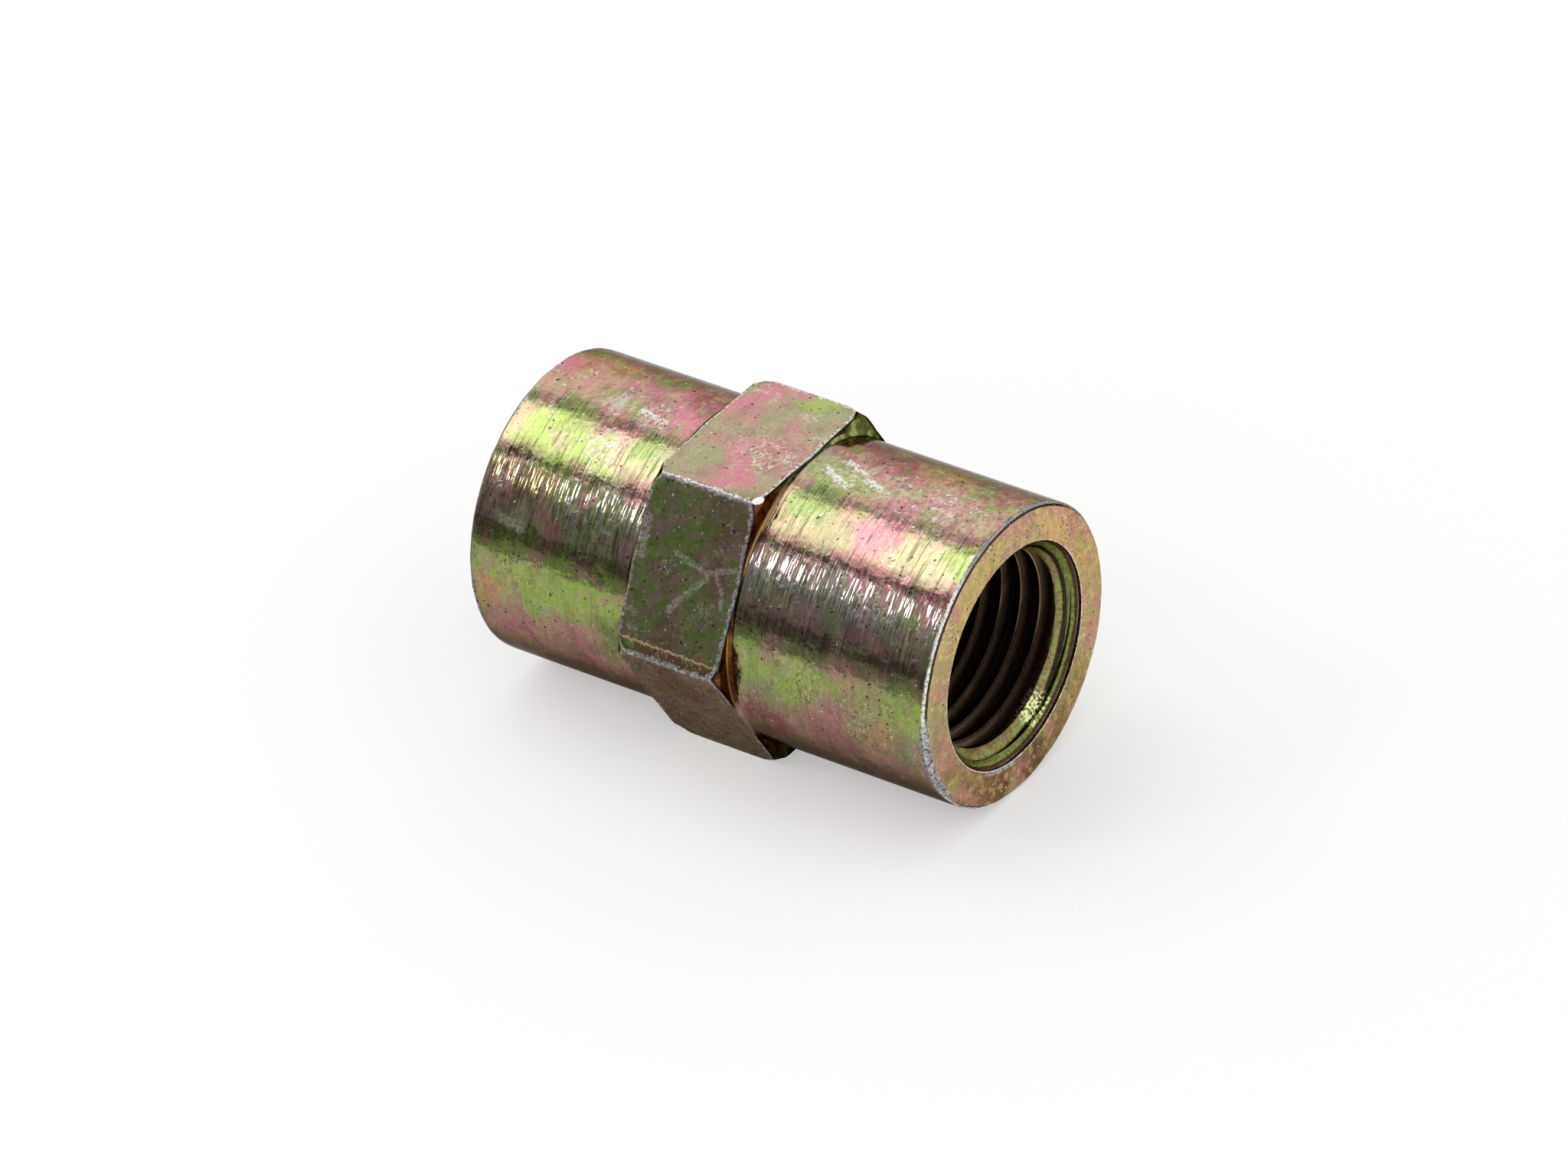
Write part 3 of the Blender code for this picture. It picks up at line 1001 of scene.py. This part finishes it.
class Plating(Places):
    """Yellow passivated zinc: a film that shifts from pink to green, turned, scratched and worn, with
    painted shade, highlights and glints laid over it.

    Its layers are laid in the order of its methods, each over the colour that the last one left.
    """

    def __init__(self, tree, sizes, finish):
        super().__init__(tree, sizes)
        self.finish = finish
        self.color = None

        # Which surface a point is on
        self.on_flats = self.edge.above(*FLATS_START)
        self.on_shoulders = self.edge.above(*SHOULDERS_START) * (1.0 - self.on_flats)
        self.in_ports = self.radius.below(*PORTS_END)
        self.on_faces = self.over_rim.below(*FACES_END) * (1.0 - self.in_ports)
        off_flats = self.over_rim.above(*BARRELS_START) * (1.0 - self.on_flats)
        self.on_barrels = off_flats * (1.0 - self.on_shoulders)
        self.on_near_flat = self.turn.above(*NEAR_FLAT_START) * self.on_flats

        # Noise at several sizes
        self.lines = self.spot.noise((8.5, 0.45, 0.45), 2.0, 0.75)
        self.grain = self.spot.noise(7.0, 2.0, 0.65)
        self.patchy = self.spot.noise(1.4, 2.0, 0.6)
        self.waves = self.spot.noise(0.9, 3.0, 0.5)
        self.ragged = (self.spot + 4.0).noise(5.0, 2.0, 0.7) - 0.5

    def cover(self, shade, share):
        """Lay a shade over the colour so far, by a share."""
        self.color = self.color.turned_to(shade, share)

    def film_color(self, busy):
        """Return the film's colour: by the angle round the bore, by patches, and mottled."""
        spot = self.spot
        broad = spot.noise(0.55, 3.0, 0.55)
        turn_share = (self.turn + math.pi) * (1 / math.tau)
        wandering = turn_share + (broad - 0.5) * 0.055
        fraying = (self.lines - 0.5) * 0.8
        barrels = self.patched(wandering.ramp(round_stops(BARREL_COLORS)), BARREL_PATCHES, 0.9, fraying)
        flats = turn_share.ramp(round_stops(FLAT_COLORS), "CONSTANT")
        flats = self.patched(flats, FLAT_PATCHES, 0.85)

        # Mottling, strongest on top of the barrels
        strength = turn_share.ramp(round_stops(MOTTLING)).grey()
        strength = strength.turned_to(FLAT_MOTTLING, self.on_flats)
        pinker = (spot + 13.0).noise((0.9, 0.75, 0.75), 2.0, 0.5)
        golden = (spot + 23.0).noise((1.5, 1.1, 1.1), 2.0, 0.55)
        color = barrels.turned_to(flats, self.on_flats)
        color = color.turned_to(PINK, pinker.above(0.52, 0.64) * strength)
        color = color.turned_to(GREEN, pinker.below(0.36, 0.46) * strength)
        color = color.turned_to(CREAM, golden.above(0.54, 0.64) * strength)
        color = color.turned_to(BROWN, golden.below(0.34, 0.44) * strength)
        fine = (spot + 37.0).noise((4.5, 3.0, 3.0), 2.0, 0.6)
        color = color.turned_to(CREAM, fine.above(0.55, 0.61) * busy * 0.7)
        color = color.turned_to(BROWN, fine.below(0.39, 0.45) * busy * 0.7)

        middling = (spot + 51.0).noise(2.2, 2.0, 0.6)
        color = color.turned_to(DEEP_GREEN, middling.above(0.53, 0.60) * self.on_near_flat * 0.7)
        color = color.turned_to(DULL_ROSE, middling.below(0.40, 0.47) * self.on_near_flat * 0.6)

        faces = (turn_share + (self.patchy - 0.5) * 0.20).ramp(round_stops(FACE_COLORS))
        faces = faces.turned_to(FACE_PINK, pinker.above(0.48, 0.60) * 0.7)
        faces = faces.turned_to(FACE_GREEN, golden.above(0.53, 0.65) * 0.55)
        faces = faces.turned_to(HONEY, middling.above(0.56, 0.64) * 0.5)
        faces = faces * (middling * 0.5 + 0.75)
        return color.turned_to(faces, self.on_faces)

    def lay_film(self):
        """Lay the film, with its dull veil, its turned lines and a band of painted glints: bright streaks
        over a painted shade.
        """
        lines = self.lines
        scratched = strongest(self.near(*place) for place in SCRATCHED_PLACES)
        self.low = self.turn.above(*LOW_SIDE_START)
        few = (self.spot + 31.0).noise(0.8, 2.0, 0.5).above(0.54, 0.64) * 0.6
        self.gather = scratched.maths("MAXIMUM", few) * self.patchy.above(0.34, 0.50)
        top_side = self.turn.within(TOP_SIDE) * self.x.above(5.0, 8.0)
        busy = self.gather.maths("MAXIMUM", top_side * 0.8) * self.on_barrels
        self.color = self.film_color(busy)
        dull = (self.spot + 11.0).noise(0.9, 3.0, 0.65).above(0.48, 0.66) * (1.0 - self.on_faces)
        self.cover(self.finish.dull, dull * 0.30)
        self.lined = (self.turn.within(LINED_SIDE) * 0.75 + 0.25) * self.on_barrels
        self.color = self.color * ((self.grain - 0.5) * 0.8 + 1.0)
        self.color = self.color * (1.0 - lines.below(0.36, 0.46) * self.lined * 0.50)
        self.cover(self.finish.cream, lines.above(0.57, 0.66) * self.lined * 0.30)
        # Painted glints: the band is darkened as painted shade, and bright streaks are laid over it as
        # painted highlights
        self.painted_glint_band = self.turn.within(PAINTED_GLINT_SIDE) * self.on_barrels
        streaks = self.spot.noise((12.0, 0.9, 0.9), 1.0, 0.5)
        self.painted_glint_streaks = streaks.above(0.54, 0.60) * self.painted_glint_band
        painted_glint_color = self.x.above(-9.0, -7.0).between(PAINTED_GLINT_GOLD, self.finish.bright_metal)
        self.color = self.color * (1.0 - self.painted_glint_band * 0.45)
        self.cover(painted_glint_color, self.painted_glint_streaks * 0.65)

    def lay_scuffs(self):
        """Lay the scuffs and the single lines."""
        grain = self.grain
        on_flats = self.on_flats
        self.curls = self.spot.squiggles(2.3, 0.045) * on_flats * grain.above(0.36, 0.46)
        rubbed = self.gather * self.on_barrels * grain.above(0.46, 0.60) * (1.0 - self.low) * 0.30
        self.cover(self.finish.bare_metal, rubbed)
        self.scuffs = self.strokes(SCUFFS) * grain.above(0.20, 0.62) * (on_flats + self.on_barrels)
        self.cover(self.finish.lavender, self.scuffs * 0.36)
        silver = self.strokes(SILVER_MARKS) * grain.above(0.44, 0.52) * self.on_barrels
        self.cover(self.finish.bright_metal, silver * 0.8)
        self.gold = self.stroke(*GOLD_LINE) * on_flats * grain.above(0.30, 0.42)
        self.cover(LINE_GOLD, self.gold * 0.9)
        self.cover(LINE_RUST, self.stroke(*RUST_LINE) * on_flats * 0.7)

    def wear_edges(self):
        """Wear the flats' edges to a broken pale strip, except where the edge is unworn."""
        grain = self.grain
        on_near_flat = self.on_near_flat
        back_edge = self.x.below(*BACK_EDGE_END)
        reach = 0.12 - back_edge * 0.07 + on_near_flat * 0.06
        strip = (self.edge + self.ragged * 0.55 - reach).below(-0.03, 0.02) * self.on_flats
        self.unworn = self.turn.within(UNWORN_SIDE)
        self.strip = strip * self.patchy.above(0.26, 0.42) * (1.0 - self.unworn)
        shade = self.color.turned_to(self.finish.bare_metal, 0.8)
        shade = shade.turned_to(self.finish.cream, back_edge * 0.8)
        shade = shade.turned_to(EDGE_GREY, on_near_flat * 0.8)
        shade = shade.turned_to(self.finish.bright_metal, (grain - on_near_flat * 0.07).above(0.47, 0.54))
        shade = shade.turned_to(self.finish.soot_and_painted_shade, grain.below(0.36, 0.43) * 0.8)
        self.cover(shade, self.strip * (0.95 - on_near_flat * 0.15))

    def lay_shoulders(self):
        """Lay the shoulders and fillets in painted shade, dark olive far and dark brown near, with painted
        highlights on them and on the fillets, and a painted shade line below the flats' edges.
        """
        near_side = self.turn.within(NEAR_SIDE)
        rings = (self.spot + 61.0).noise(2.6, 2.0, 0.6)
        # Painted shade: the shoulders are painted dark, olive far and brown near, with green painted
        # highlights on the far ones
        shade = near_side.between(self.finish.painted_shade_olive, self.finish.painted_shade_brown)
        shade = shade * (rings * 2.6 - 0.3) * (self.patchy * 3.0 - 0.5)
        shade = shade.turned_to(MOSS_HIGHLIGHT, self.patchy.above(0.56, 0.64) * (1.0 - near_side))
        self.cover(shade, self.on_shoulders * (1.0 - self.unworn))
        # Painted highlights: a gold line along the fillets, and a ring at their top on the near side
        fillet = self.radius.below(*FILLETS_END) * self.on_shoulders
        self.cover(self.finish.fillet_highlight_gold, fillet * (self.turn.within(FILLET_HIGHLIGHT_SIDE) * 0.4))
        highlight_ring = self.radius.within(HIGHLIGHT_RING) * self.on_shoulders
        self.cover(RING_HIGHLIGHT_GOLD, highlight_ring.kept_within(self.turn, HIGHLIGHT_RING_SIDE))
        # Painted shade: a dark line on the shoulder just below each flat's edge
        painted_shade_line = (self.edge + self.ragged * 0.12).above(-0.16, -0.11) * self.on_shoulders
        painted_shade_line = painted_shade_line * (1.0 - self.unworn) * self.x.above(*BACK_EDGE_END)
        self.cover(self.finish.soot_and_painted_shade, painted_shade_line * 0.9)

    def on_rim(self, raggedness, steps):
        """Return 1 on a ragged ring at the rim of a barrel."""
        return (self.over_rim + self.ragged * raggedness).within(steps) * (1.0 - self.in_ports)

    def wear_rims(self):
        """Rub the rims pale, with a painted shade line beside the face, and wear them wider low at the
        left. A white spot on a burr at a ridge's front end is a painted highlight.
        """
        grain = self.grain
        finish = self.finish
        upper = self.turn.within(PAINTED_SHADE_RIM_SIDE)
        lower = self.turn.within(WIDE_RIM_SIDE)
        broken = (self.spot + 8.0).noise(2.2, 2.0, 0.6).above(0.36, 0.50)
        shade = self.turn.above(0.35, 0.65).between(finish.blue_grey, finish.bright_metal)
        shade = shade.turned_to(finish.soot_and_painted_shade, grain.below(0.38, 0.46) * 0.7)
        self.rubbed = self.on_rim(0.16, RUBBED_RIM) * (broken * 0.75 + 0.2) * self.x.above(-0.1, 0.1)
        self.cover(shade, self.rubbed)
        # Painted shade: a dark line round the upper rims beside the face
        self.cover(finish.soot_and_painted_shade, self.on_rim(0.10, PAINTED_SHADE_RIM) * upper * 0.95)
        self.wide_rim = self.on_rim(0.30, WIDE_RIM) * lower
        shade = self.color.turned_to(RIM_GREY, 0.92).turned_to(finish.soot_and_painted_shade, grain.below(0.38, 0.45) * 0.8)
        shade = shade.turned_to(finish.bright_metal, grain.above(0.58, 0.64) * 0.7)
        self.cover(shade, self.wide_rim)
        # Painted highlight: a white spot on the burr at a ridge's front end
        from_burr = ((self.spot - BURR_PLACE) * BURR_STRETCH).vector_maths("LENGTH")
        self.burr = (from_burr + self.ragged * 0.2).below(0.34, 0.38)
        self.cover(BURR_HIGHLIGHT_WHITE, self.burr)

    def lay_ports(self):
        """Darken the ports with painted shade that deepens inwards, with their thread, painted light on
        the crests on one side, painted glints low on one side, and the edge and worn part of their mouths.
        """
        grain = self.grain
        turn = self.turn
        depth = self.depth
        radius = self.radius
        # Painted shade: the ramp darkens each port towards its depth
        stops = [(reach / PORT_REACH, shade) for reach, shade in PORT_COLORS_AND_SHADE]
        color = ((depth + (self.patchy - 0.5) * 0.10) * (1 / PORT_REACH)).ramp(stops)
        color = color * ((grain - 0.5) * 2.4 + 1.0)
        thread_top = depth.within(THREAD_TOP)
        color = color.turned_to(GREEN, self.patchy.below(0.36, 0.48) * thread_top * 0.5)
        flanks = radius.above(4.58, 4.66) * depth.above(1.2, 1.4)
        color = color.turned_to(FLANK_BROWN, flanks * 0.6)
        # Painted light on the thread's crests, on one side only
        crests = radius.within(CREST_RING).kept_within(depth, CREST_DEPTHS).kept_within(turn, LIT_CREST_SIDE)
        color = color.turned_to(self.finish.lit_crest_brown, crests)
        # Painted glints low on one side, near the mouth
        glints = turn.within(GLINT_SIDE).kept_within(depth, GLINT_DEPTHS)
        color = color.turned_to(GLINT_YELLOW, glints * grain.above(0.47, 0.56))
        self.cover(color, self.in_ports)
        mouth_edge = radius.within(MOUTH_RING) * depth.below(0.04, 0.06)
        mouth_edge = mouth_edge * (grain.above(0.42, 0.52) * 0.6 + turn.above(0.9, 1.2) * 0.4)
        self.cover(self.finish.bright_metal, mouth_edge)
        worn_part = turn.within(WORN_MOUTH_SIDE) * self.on_faces
        worn_mouth = (radius + self.ragged * 0.12).below(5.42, 5.48) * worn_part
        self.cover(self.finish.bare_metal, worn_mouth * grain.above(0.40, 0.5) * 0.9)

    def lay_fine_marks(self):
        """Lay the finest marks: scratches, specks, crumbs and pits."""
        shaken = self.shaken
        worn = strongest([self.strip, self.scuffs, self.gold, self.wide_rim, self.rubbed, self.burr])
        outside = (1.0 - self.in_ports) * (1.0 - self.on_shoulders)
        strokes = strongest([shaken.dashes(25.0, 0.50, 0.09, 0.34), shaken.dashes(80.0, 0.34, 0.10, 0.40)])
        self.scratches = self.curls.maths("MAXIMUM", strokes) * self.gather * outside
        shade = self.on_flats.maths("MAXIMUM", self.grain.below(0.46, 0.52))
        shade = shade.between(self.finish.bright_metal, self.finish.cream)
        shade = shade.turned_to(SCRATCH_GOLD, self.low * self.on_barrels * 0.8)
        self.cover(shade, self.scratches * 0.9)
        specks = shaken.dots(0.60, 0.11, 0.20)
        fine_specks = shaken.dots(0.24, 0.075, 0.30) * self.patchy.above(0.40, 0.52)
        specks = specks.maths("MAXIMUM", fine_specks * self.on_near_flat) * outside
        self.cover(self.finish.bright_metal, specks)
        on_face_top = self.turn.within(FACE_TOP_SIDE) * self.on_faces
        clusters = (self.spot + 17.0).noise(1.5, 1.0, 0.5).above(0.50, 0.58) * on_face_top
        crumbs = (shaken + 6.6).dots(0.19, 0.12, 0.45) * clusters
        self.cover(CRUMB_YELLOW, crumbs * 0.8)
        small_pits = (shaken + 9.1).dots(0.30, 0.11, 0.16)
        pits = (shaken + 2.7).dots(0.62, 0.15, 0.26).maths("MAXIMUM", small_pits)
        face_pits = (shaken + 5.3).dots(0.17, 0.13, 0.55) * clusters
        self.cover(self.finish.soot_and_painted_shade, pits.maths("MAXIMUM", face_pits) * outside * 0.85)
        self.worn = worn.maths("MAXIMUM", specks) * 0.28

    def roughness(self):
        """Return how rough the surface is: rougher where it is worn, on the faces and in the ports."""
        roughness = (self.grain - 0.5) * 0.20 + self.worn + self.scratches * 0.10
        roughness = roughness + self.on_faces * 0.14 + self.in_ports * 0.22 + self.on_flats * 0.07
        roughness = roughness + (self.lines - 0.5) * 0.25 * self.on_barrels + self.finish.roughness
        return roughness + self.painted_glint_band * 0.16 - self.painted_glint_streaks * 0.22

    def height(self):
        """Return how high the surface stands, in micrometres."""
        turned = self.lines * (self.finish.turning_height / MICRON) * self.lined
        height = turned + self.grain * (self.finish.grain_height / MICRON)
        return height + self.waves * (self.finish.wave_height / MICRON) * (1.0 - self.on_flats * 0.7)


def plating_material(sizes, finish):
    """Return the material of the whole union."""
    material = bpy.data.materials.new("yellow_passivated_zinc")
    material.use_nodes = True
    tree = material.node_tree
    shader = tree.nodes["Principled BSDF"]
    plating = Plating(tree, sizes, finish)
    plating.lay_film()
    plating.lay_scuffs()
    plating.wear_edges()
    plating.lay_shoulders()
    plating.wear_rims()
    plating.lay_ports()
    plating.lay_fine_marks()
    roughness = plating.roughness()
    height = plating.height()
    bump = height.node("ShaderNodeBump", sockets={"Strength": 1.0, "Distance": MICRON, "Height": height})

    shader.inputs["Metallic"].default_value = 1.0
    shader.inputs["Specular Tint"].default_value = full_color(finish.edge_tint)
    tree.links.new(plating.color.socket, shader.inputs["Base Color"])
    tree.links.new(roughness.socket, shader.inputs["Roughness"])
    tree.links.new(bump.socket, shader.inputs["Normal"])
    return material


class UNION_OT_turn_body(bpy.types.Operator):
    """Turn, mill, tap and plate the union"""

    bl_idname = "pipe_union.turn_body"
    bl_label = "Turn the Union"
    bl_options = {"REGISTER", "UNDO"}

    def execute(self, context):
        sizes = context.scene.union_body_sizes
        mesh = union_mesh(sizes)
        union = bpy.data.objects.new("pipe_union", mesh)
        context.scene.collection.objects.link(union)
        mesh.materials.append(plating_material(sizes, context.scene.union_finish))
        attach(union, CAD_BODY)
        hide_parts(CAD_NODE)
        return {"FINISHED"}


# The studio. The floor lies just under the union
FLOOR_SIZE = 4.0
FLOOR_DROP = 0.02 * MM
FLOOR_SHADE = 0.74
FLOOR_GLOW = 0.40
CARD_DISTANCE = 320.0 * MM
CAMERA_TARGET = Vector((0.12, -0.29, 6.57)) * MM
NEAR_CLIP_SHARE = 0.1
WHITE = 1.0

# The two lamps, each with the direction in which it hangs, its distance, its width and its depth
SOFT_BOX = ("soft_box", (-0.49, -0.05, 0.87), 0.45, 0.30, 0.22)
SMALL_LAMP = ("small_lamp", (-0.493, -0.559, 0.666), 0.30, 0.06, 0.055)

# Cards that only show in the metal, each with a name first and its shade last. The bent ones are given
# by the angles from straight up towards -Y at which they start and end, and their reach along X
BENT_CARDS = (
    ("ridge_card", -25.0, -15.0, -0.75, 0.10, 0.84),
    ("upper_card", 24.5, 31.0, -0.75, 0.10, 0.16),
    ("streak_card", 31.0, 45.0, -0.75, 0.10, 0.30),
    ("middle_card", 45.0, 55.0, -0.75, 0.10, 0.42),
    ("lower_card", 55.0, 66.0, -0.75, 0.10, 0.40),
    ("low_card", 66.0, 78.0, -0.75, 0.10, 0.31),
    ("lowest_card", 78.0, 91.0, -0.75, 0.10, 0.12),
)
CARD_STEPS = 12

# The flat ones hang in a direction, and have a width and a height
FLAT_CARDS = (
    ("far_card", (0.35, 0.40, 0.85), 0.15, 0.15, 0.04),
    ("camera_card", (0.49, -0.83, 0.27), 0.16, 0.14, 0.06),
)

# The ones on the floor run from a low to a high x, and from a low to a high y
FLOOR_CARDS = (
    ("near_floor_card", -0.30, 0.012, -0.045, 0.004, 0.74),
    ("front_floor_card", -0.30, 0.012, -0.32, -0.045, 0.28),
)
FLOOR_CARD_HEIGHT = 0.03 * MM


def plain_material(name, shade):
    """Return a matt grey."""
    material = bpy.data.materials.new(name)
    material.use_nodes = True
    tree = material.node_tree
    tree.nodes.clear()
    output = tree.nodes.new("ShaderNodeOutputMaterial")
    diffuse = Field(tree).node("ShaderNodeBsdfDiffuse", sockets={"Color": shade})
    tree.links.new(diffuse.socket, output.inputs["Surface"])
    return material


def seen_by_eye(tree):
    """Return 1 for light that reaches the camera straight, off metal or through glass, and 0 else."""
    path = Field(tree).node("ShaderNodeLightPath", output="Is Camera Ray")
    return strongest([path, path.other("Is Glossy Ray"), path.other("Is Transmission Ray")])


def floor_material():
    """Return a pale floor that shows as white, and keeps the shadow of what stands on it."""
    material = plain_material("studio_floor", FLOOR_SHADE)
    tree = material.node_tree
    output = tree.nodes["Material Output"]
    diffuse = Field(tree, output.inputs["Surface"].links[0].from_socket)
    glow = diffuse.node("ShaderNodeEmission", sockets={"Strength": seen_by_eye(tree) * FLOOR_GLOW})
    both = diffuse.node("ShaderNodeAddShader", sockets={0: diffuse, 1: glow})
    tree.links.new(both.socket, output.inputs["Surface"])
    return material


def light_world(level):
    """Light the union evenly from all round, in front of a white background."""
    world = bpy.data.worlds.new("studio")
    bpy.context.scene.world = world
    world.use_nodes = True
    tree = world.node_tree
    background = tree.nodes["Background"]
    background.inputs["Color"].default_value = full_color(WHITE)
    strength = seen_by_eye(tree) * (1.0 - level) + level
    tree.links.new(strength.socket, background.inputs["Strength"])


def add_lamp(name, direction, distance, width, depth, level):
    """Hang a rectangular lamp that faces the union, with a brightness where 1 is white."""
    data = bpy.data.lights.new(name, "AREA")
    data.shape = "RECTANGLE"
    data.size = width
    data.size_y = depth
    data.energy = level * math.pi * width * depth
    lamp = bpy.data.objects.new(name, data)
    lamp.location = Vector(direction).normalized() * distance
    lamp.rotation_euler = (lamp.location - CAMERA_TARGET).to_track_quat("Z", "X").to_euler()
    lamp.visible_camera = False
    bpy.context.scene.collection.objects.link(lamp)


def add_card(name, points, faces, shade):
    """Add a matt card that only the metal reflects."""
    mesh = bpy.data.meshes.new(name)
    mesh.from_pydata(points, [], faces)
    mesh.materials.append(plain_material(name, shade))
    card = bpy.data.objects.new(name, mesh)
    bpy.context.scene.collection.objects.link(card)
    for rays in ("camera", "diffuse", "transmission", "shadow"):
        setattr(card, "visible_" + rays, False)


def add_bent_card(name, start, end, low_x, high_x, shade):
    """Bend a card round the bore axis."""
    points = []
    for step in range(CARD_STEPS + 1):
        turn = math.radians(start + (end - start) * step / CARD_STEPS)
        for x in (low_x, high_x):
            points.append((x, -CARD_DISTANCE * math.sin(turn), CARD_DISTANCE * math.cos(turn)))
    faces = [(2 * step, 2 * step + 1, 2 * step + 3, 2 * step + 2) for step in range(CARD_STEPS)]
    add_card(name, points, faces, shade)


def add_flat_card(name, direction, width, height, shade):
    """Hang a flat card in a direction, square to it."""
    middle = Vector(direction).normalized() * CARD_DISTANCE
    turn = middle.to_track_quat("Z", "Y")
    corners = ((-width, -height), (width, -height), (width, height), (-width, height))
    points = [middle + turn @ Vector((x / 2, y / 2, 0.0)) for x, y in corners]
    add_card(name, points, [(0, 1, 2, 3)], shade)


def add_floor_card(name, low_x, high_x, low_y, high_y, shade):
    """Lay a card on the floor."""
    corners = ((low_x, low_y), (high_x, low_y), (high_x, high_y), (low_x, high_y))
    points = [(x, y, FLOOR_CARD_HEIGHT) for x, y in corners]
    add_card(name, points, [(0, 1, 2, 3)], shade)


class UNION_OT_set_studio(bpy.types.Operator):
    """Lay the floor, hang the lights and cards, and set up the camera"""

    bl_idname = "pipe_union.set_studio"
    bl_label = "Set Up the Studio"
    bl_options = {"REGISTER", "UNDO"}

    def execute(self, context):
        studio = context.scene.union_studio
        mesh = bpy.data.meshes.new("studio_floor")
        shape = bmesh.new()
        bmesh.ops.create_grid(shape, x_segments=1, y_segments=1, size=FLOOR_SIZE / 2)
        shape.to_mesh(mesh)
        shape.free()
        mesh.materials.append(floor_material())
        floor = bpy.data.objects.new("studio_floor", mesh)
        floor.location.z = -FLOOR_DROP
        context.scene.collection.objects.link(floor)
        light_world(studio.world_level)
        add_lamp(*SOFT_BOX, studio.box_level)
        add_lamp(*SMALL_LAMP, studio.spark_level)
        for add, cards in (
                (add_bent_card, BENT_CARDS), (add_flat_card, FLAT_CARDS), (add_floor_card, FLOOR_CARDS)):
            for card in cards:
                add(*card)
        self.set_camera(context.scene, studio)
        return {"FINISHED"}

    def set_camera(self, scene, studio):
        """Put the camera where the photograph was taken from."""
        data = bpy.data.cameras.new("photo_camera")
        data.lens = studio.lens
        data.clip_start = studio.distance * NEAR_CLIP_SHARE
        camera = bpy.data.objects.new("photo_camera", data)
        level_reach = math.cos(studio.elevation)
        back = Vector((
            math.sin(studio.azimuth) * level_reach,
            -math.cos(studio.azimuth) * level_reach,
            math.sin(studio.elevation)))
        camera.location = CAMERA_TARGET + back * studio.distance
        camera.rotation_mode = "QUATERNION"
        aim = (-back).to_track_quat("-Z", "Y")
        camera.rotation_quaternion = aim @ Quaternion((0.0, 0.0, 1.0), -studio.roll)
        scene.collection.objects.link(camera)
        scene.camera = camera
        scene.view_settings.view_transform = "Standard"


class UNION_PT_sidebar(bpy.types.Panel):
    """The union's sizes, finish and studio in the sidebar"""

    bl_label = "Pipe Union"
    bl_idname = "UNION_PT_sidebar"
    bl_space_type = "VIEW_3D"
    bl_region_type = "UI"
    bl_category = "Pipe Union"

    def draw(self, context):
        scene = context.scene
        for operator, settings in (
                (UNION_OT_turn_body, (scene.union_body_sizes, scene.union_finish)),
                (UNION_OT_set_studio, (scene.union_studio,))):
            box = self.layout.box()
            box.operator(operator.bl_idname)
            for group in settings:
                for name in group.__annotations__:
                    box.prop(group, name)


CLASSES = (
    BodySizes, FinishSettings, StudioSettings, UNION_OT_turn_body, UNION_OT_set_studio, UNION_PT_sidebar)


def register():
    """Add the union's settings, operators and panel."""
    for each in CLASSES:
        bpy.utils.register_class(each)
    bpy.types.Scene.union_body_sizes = PointerProperty(type=BodySizes)
    bpy.types.Scene.union_finish = PointerProperty(type=FinishSettings)
    bpy.types.Scene.union_studio = PointerProperty(type=StudioSettings)


def unregister():
    """Take them away again."""
    del bpy.types.Scene.union_studio
    del bpy.types.Scene.union_finish
    del bpy.types.Scene.union_body_sizes
    for each in reversed(CLASSES):
        bpy.utils.unregister_class(each)


def main():
    """Build the union and its studio."""
    register()
    bpy.ops.pipe_union.turn_body()
    bpy.ops.pipe_union.set_studio()


if __name__ == "__main__":
    main()
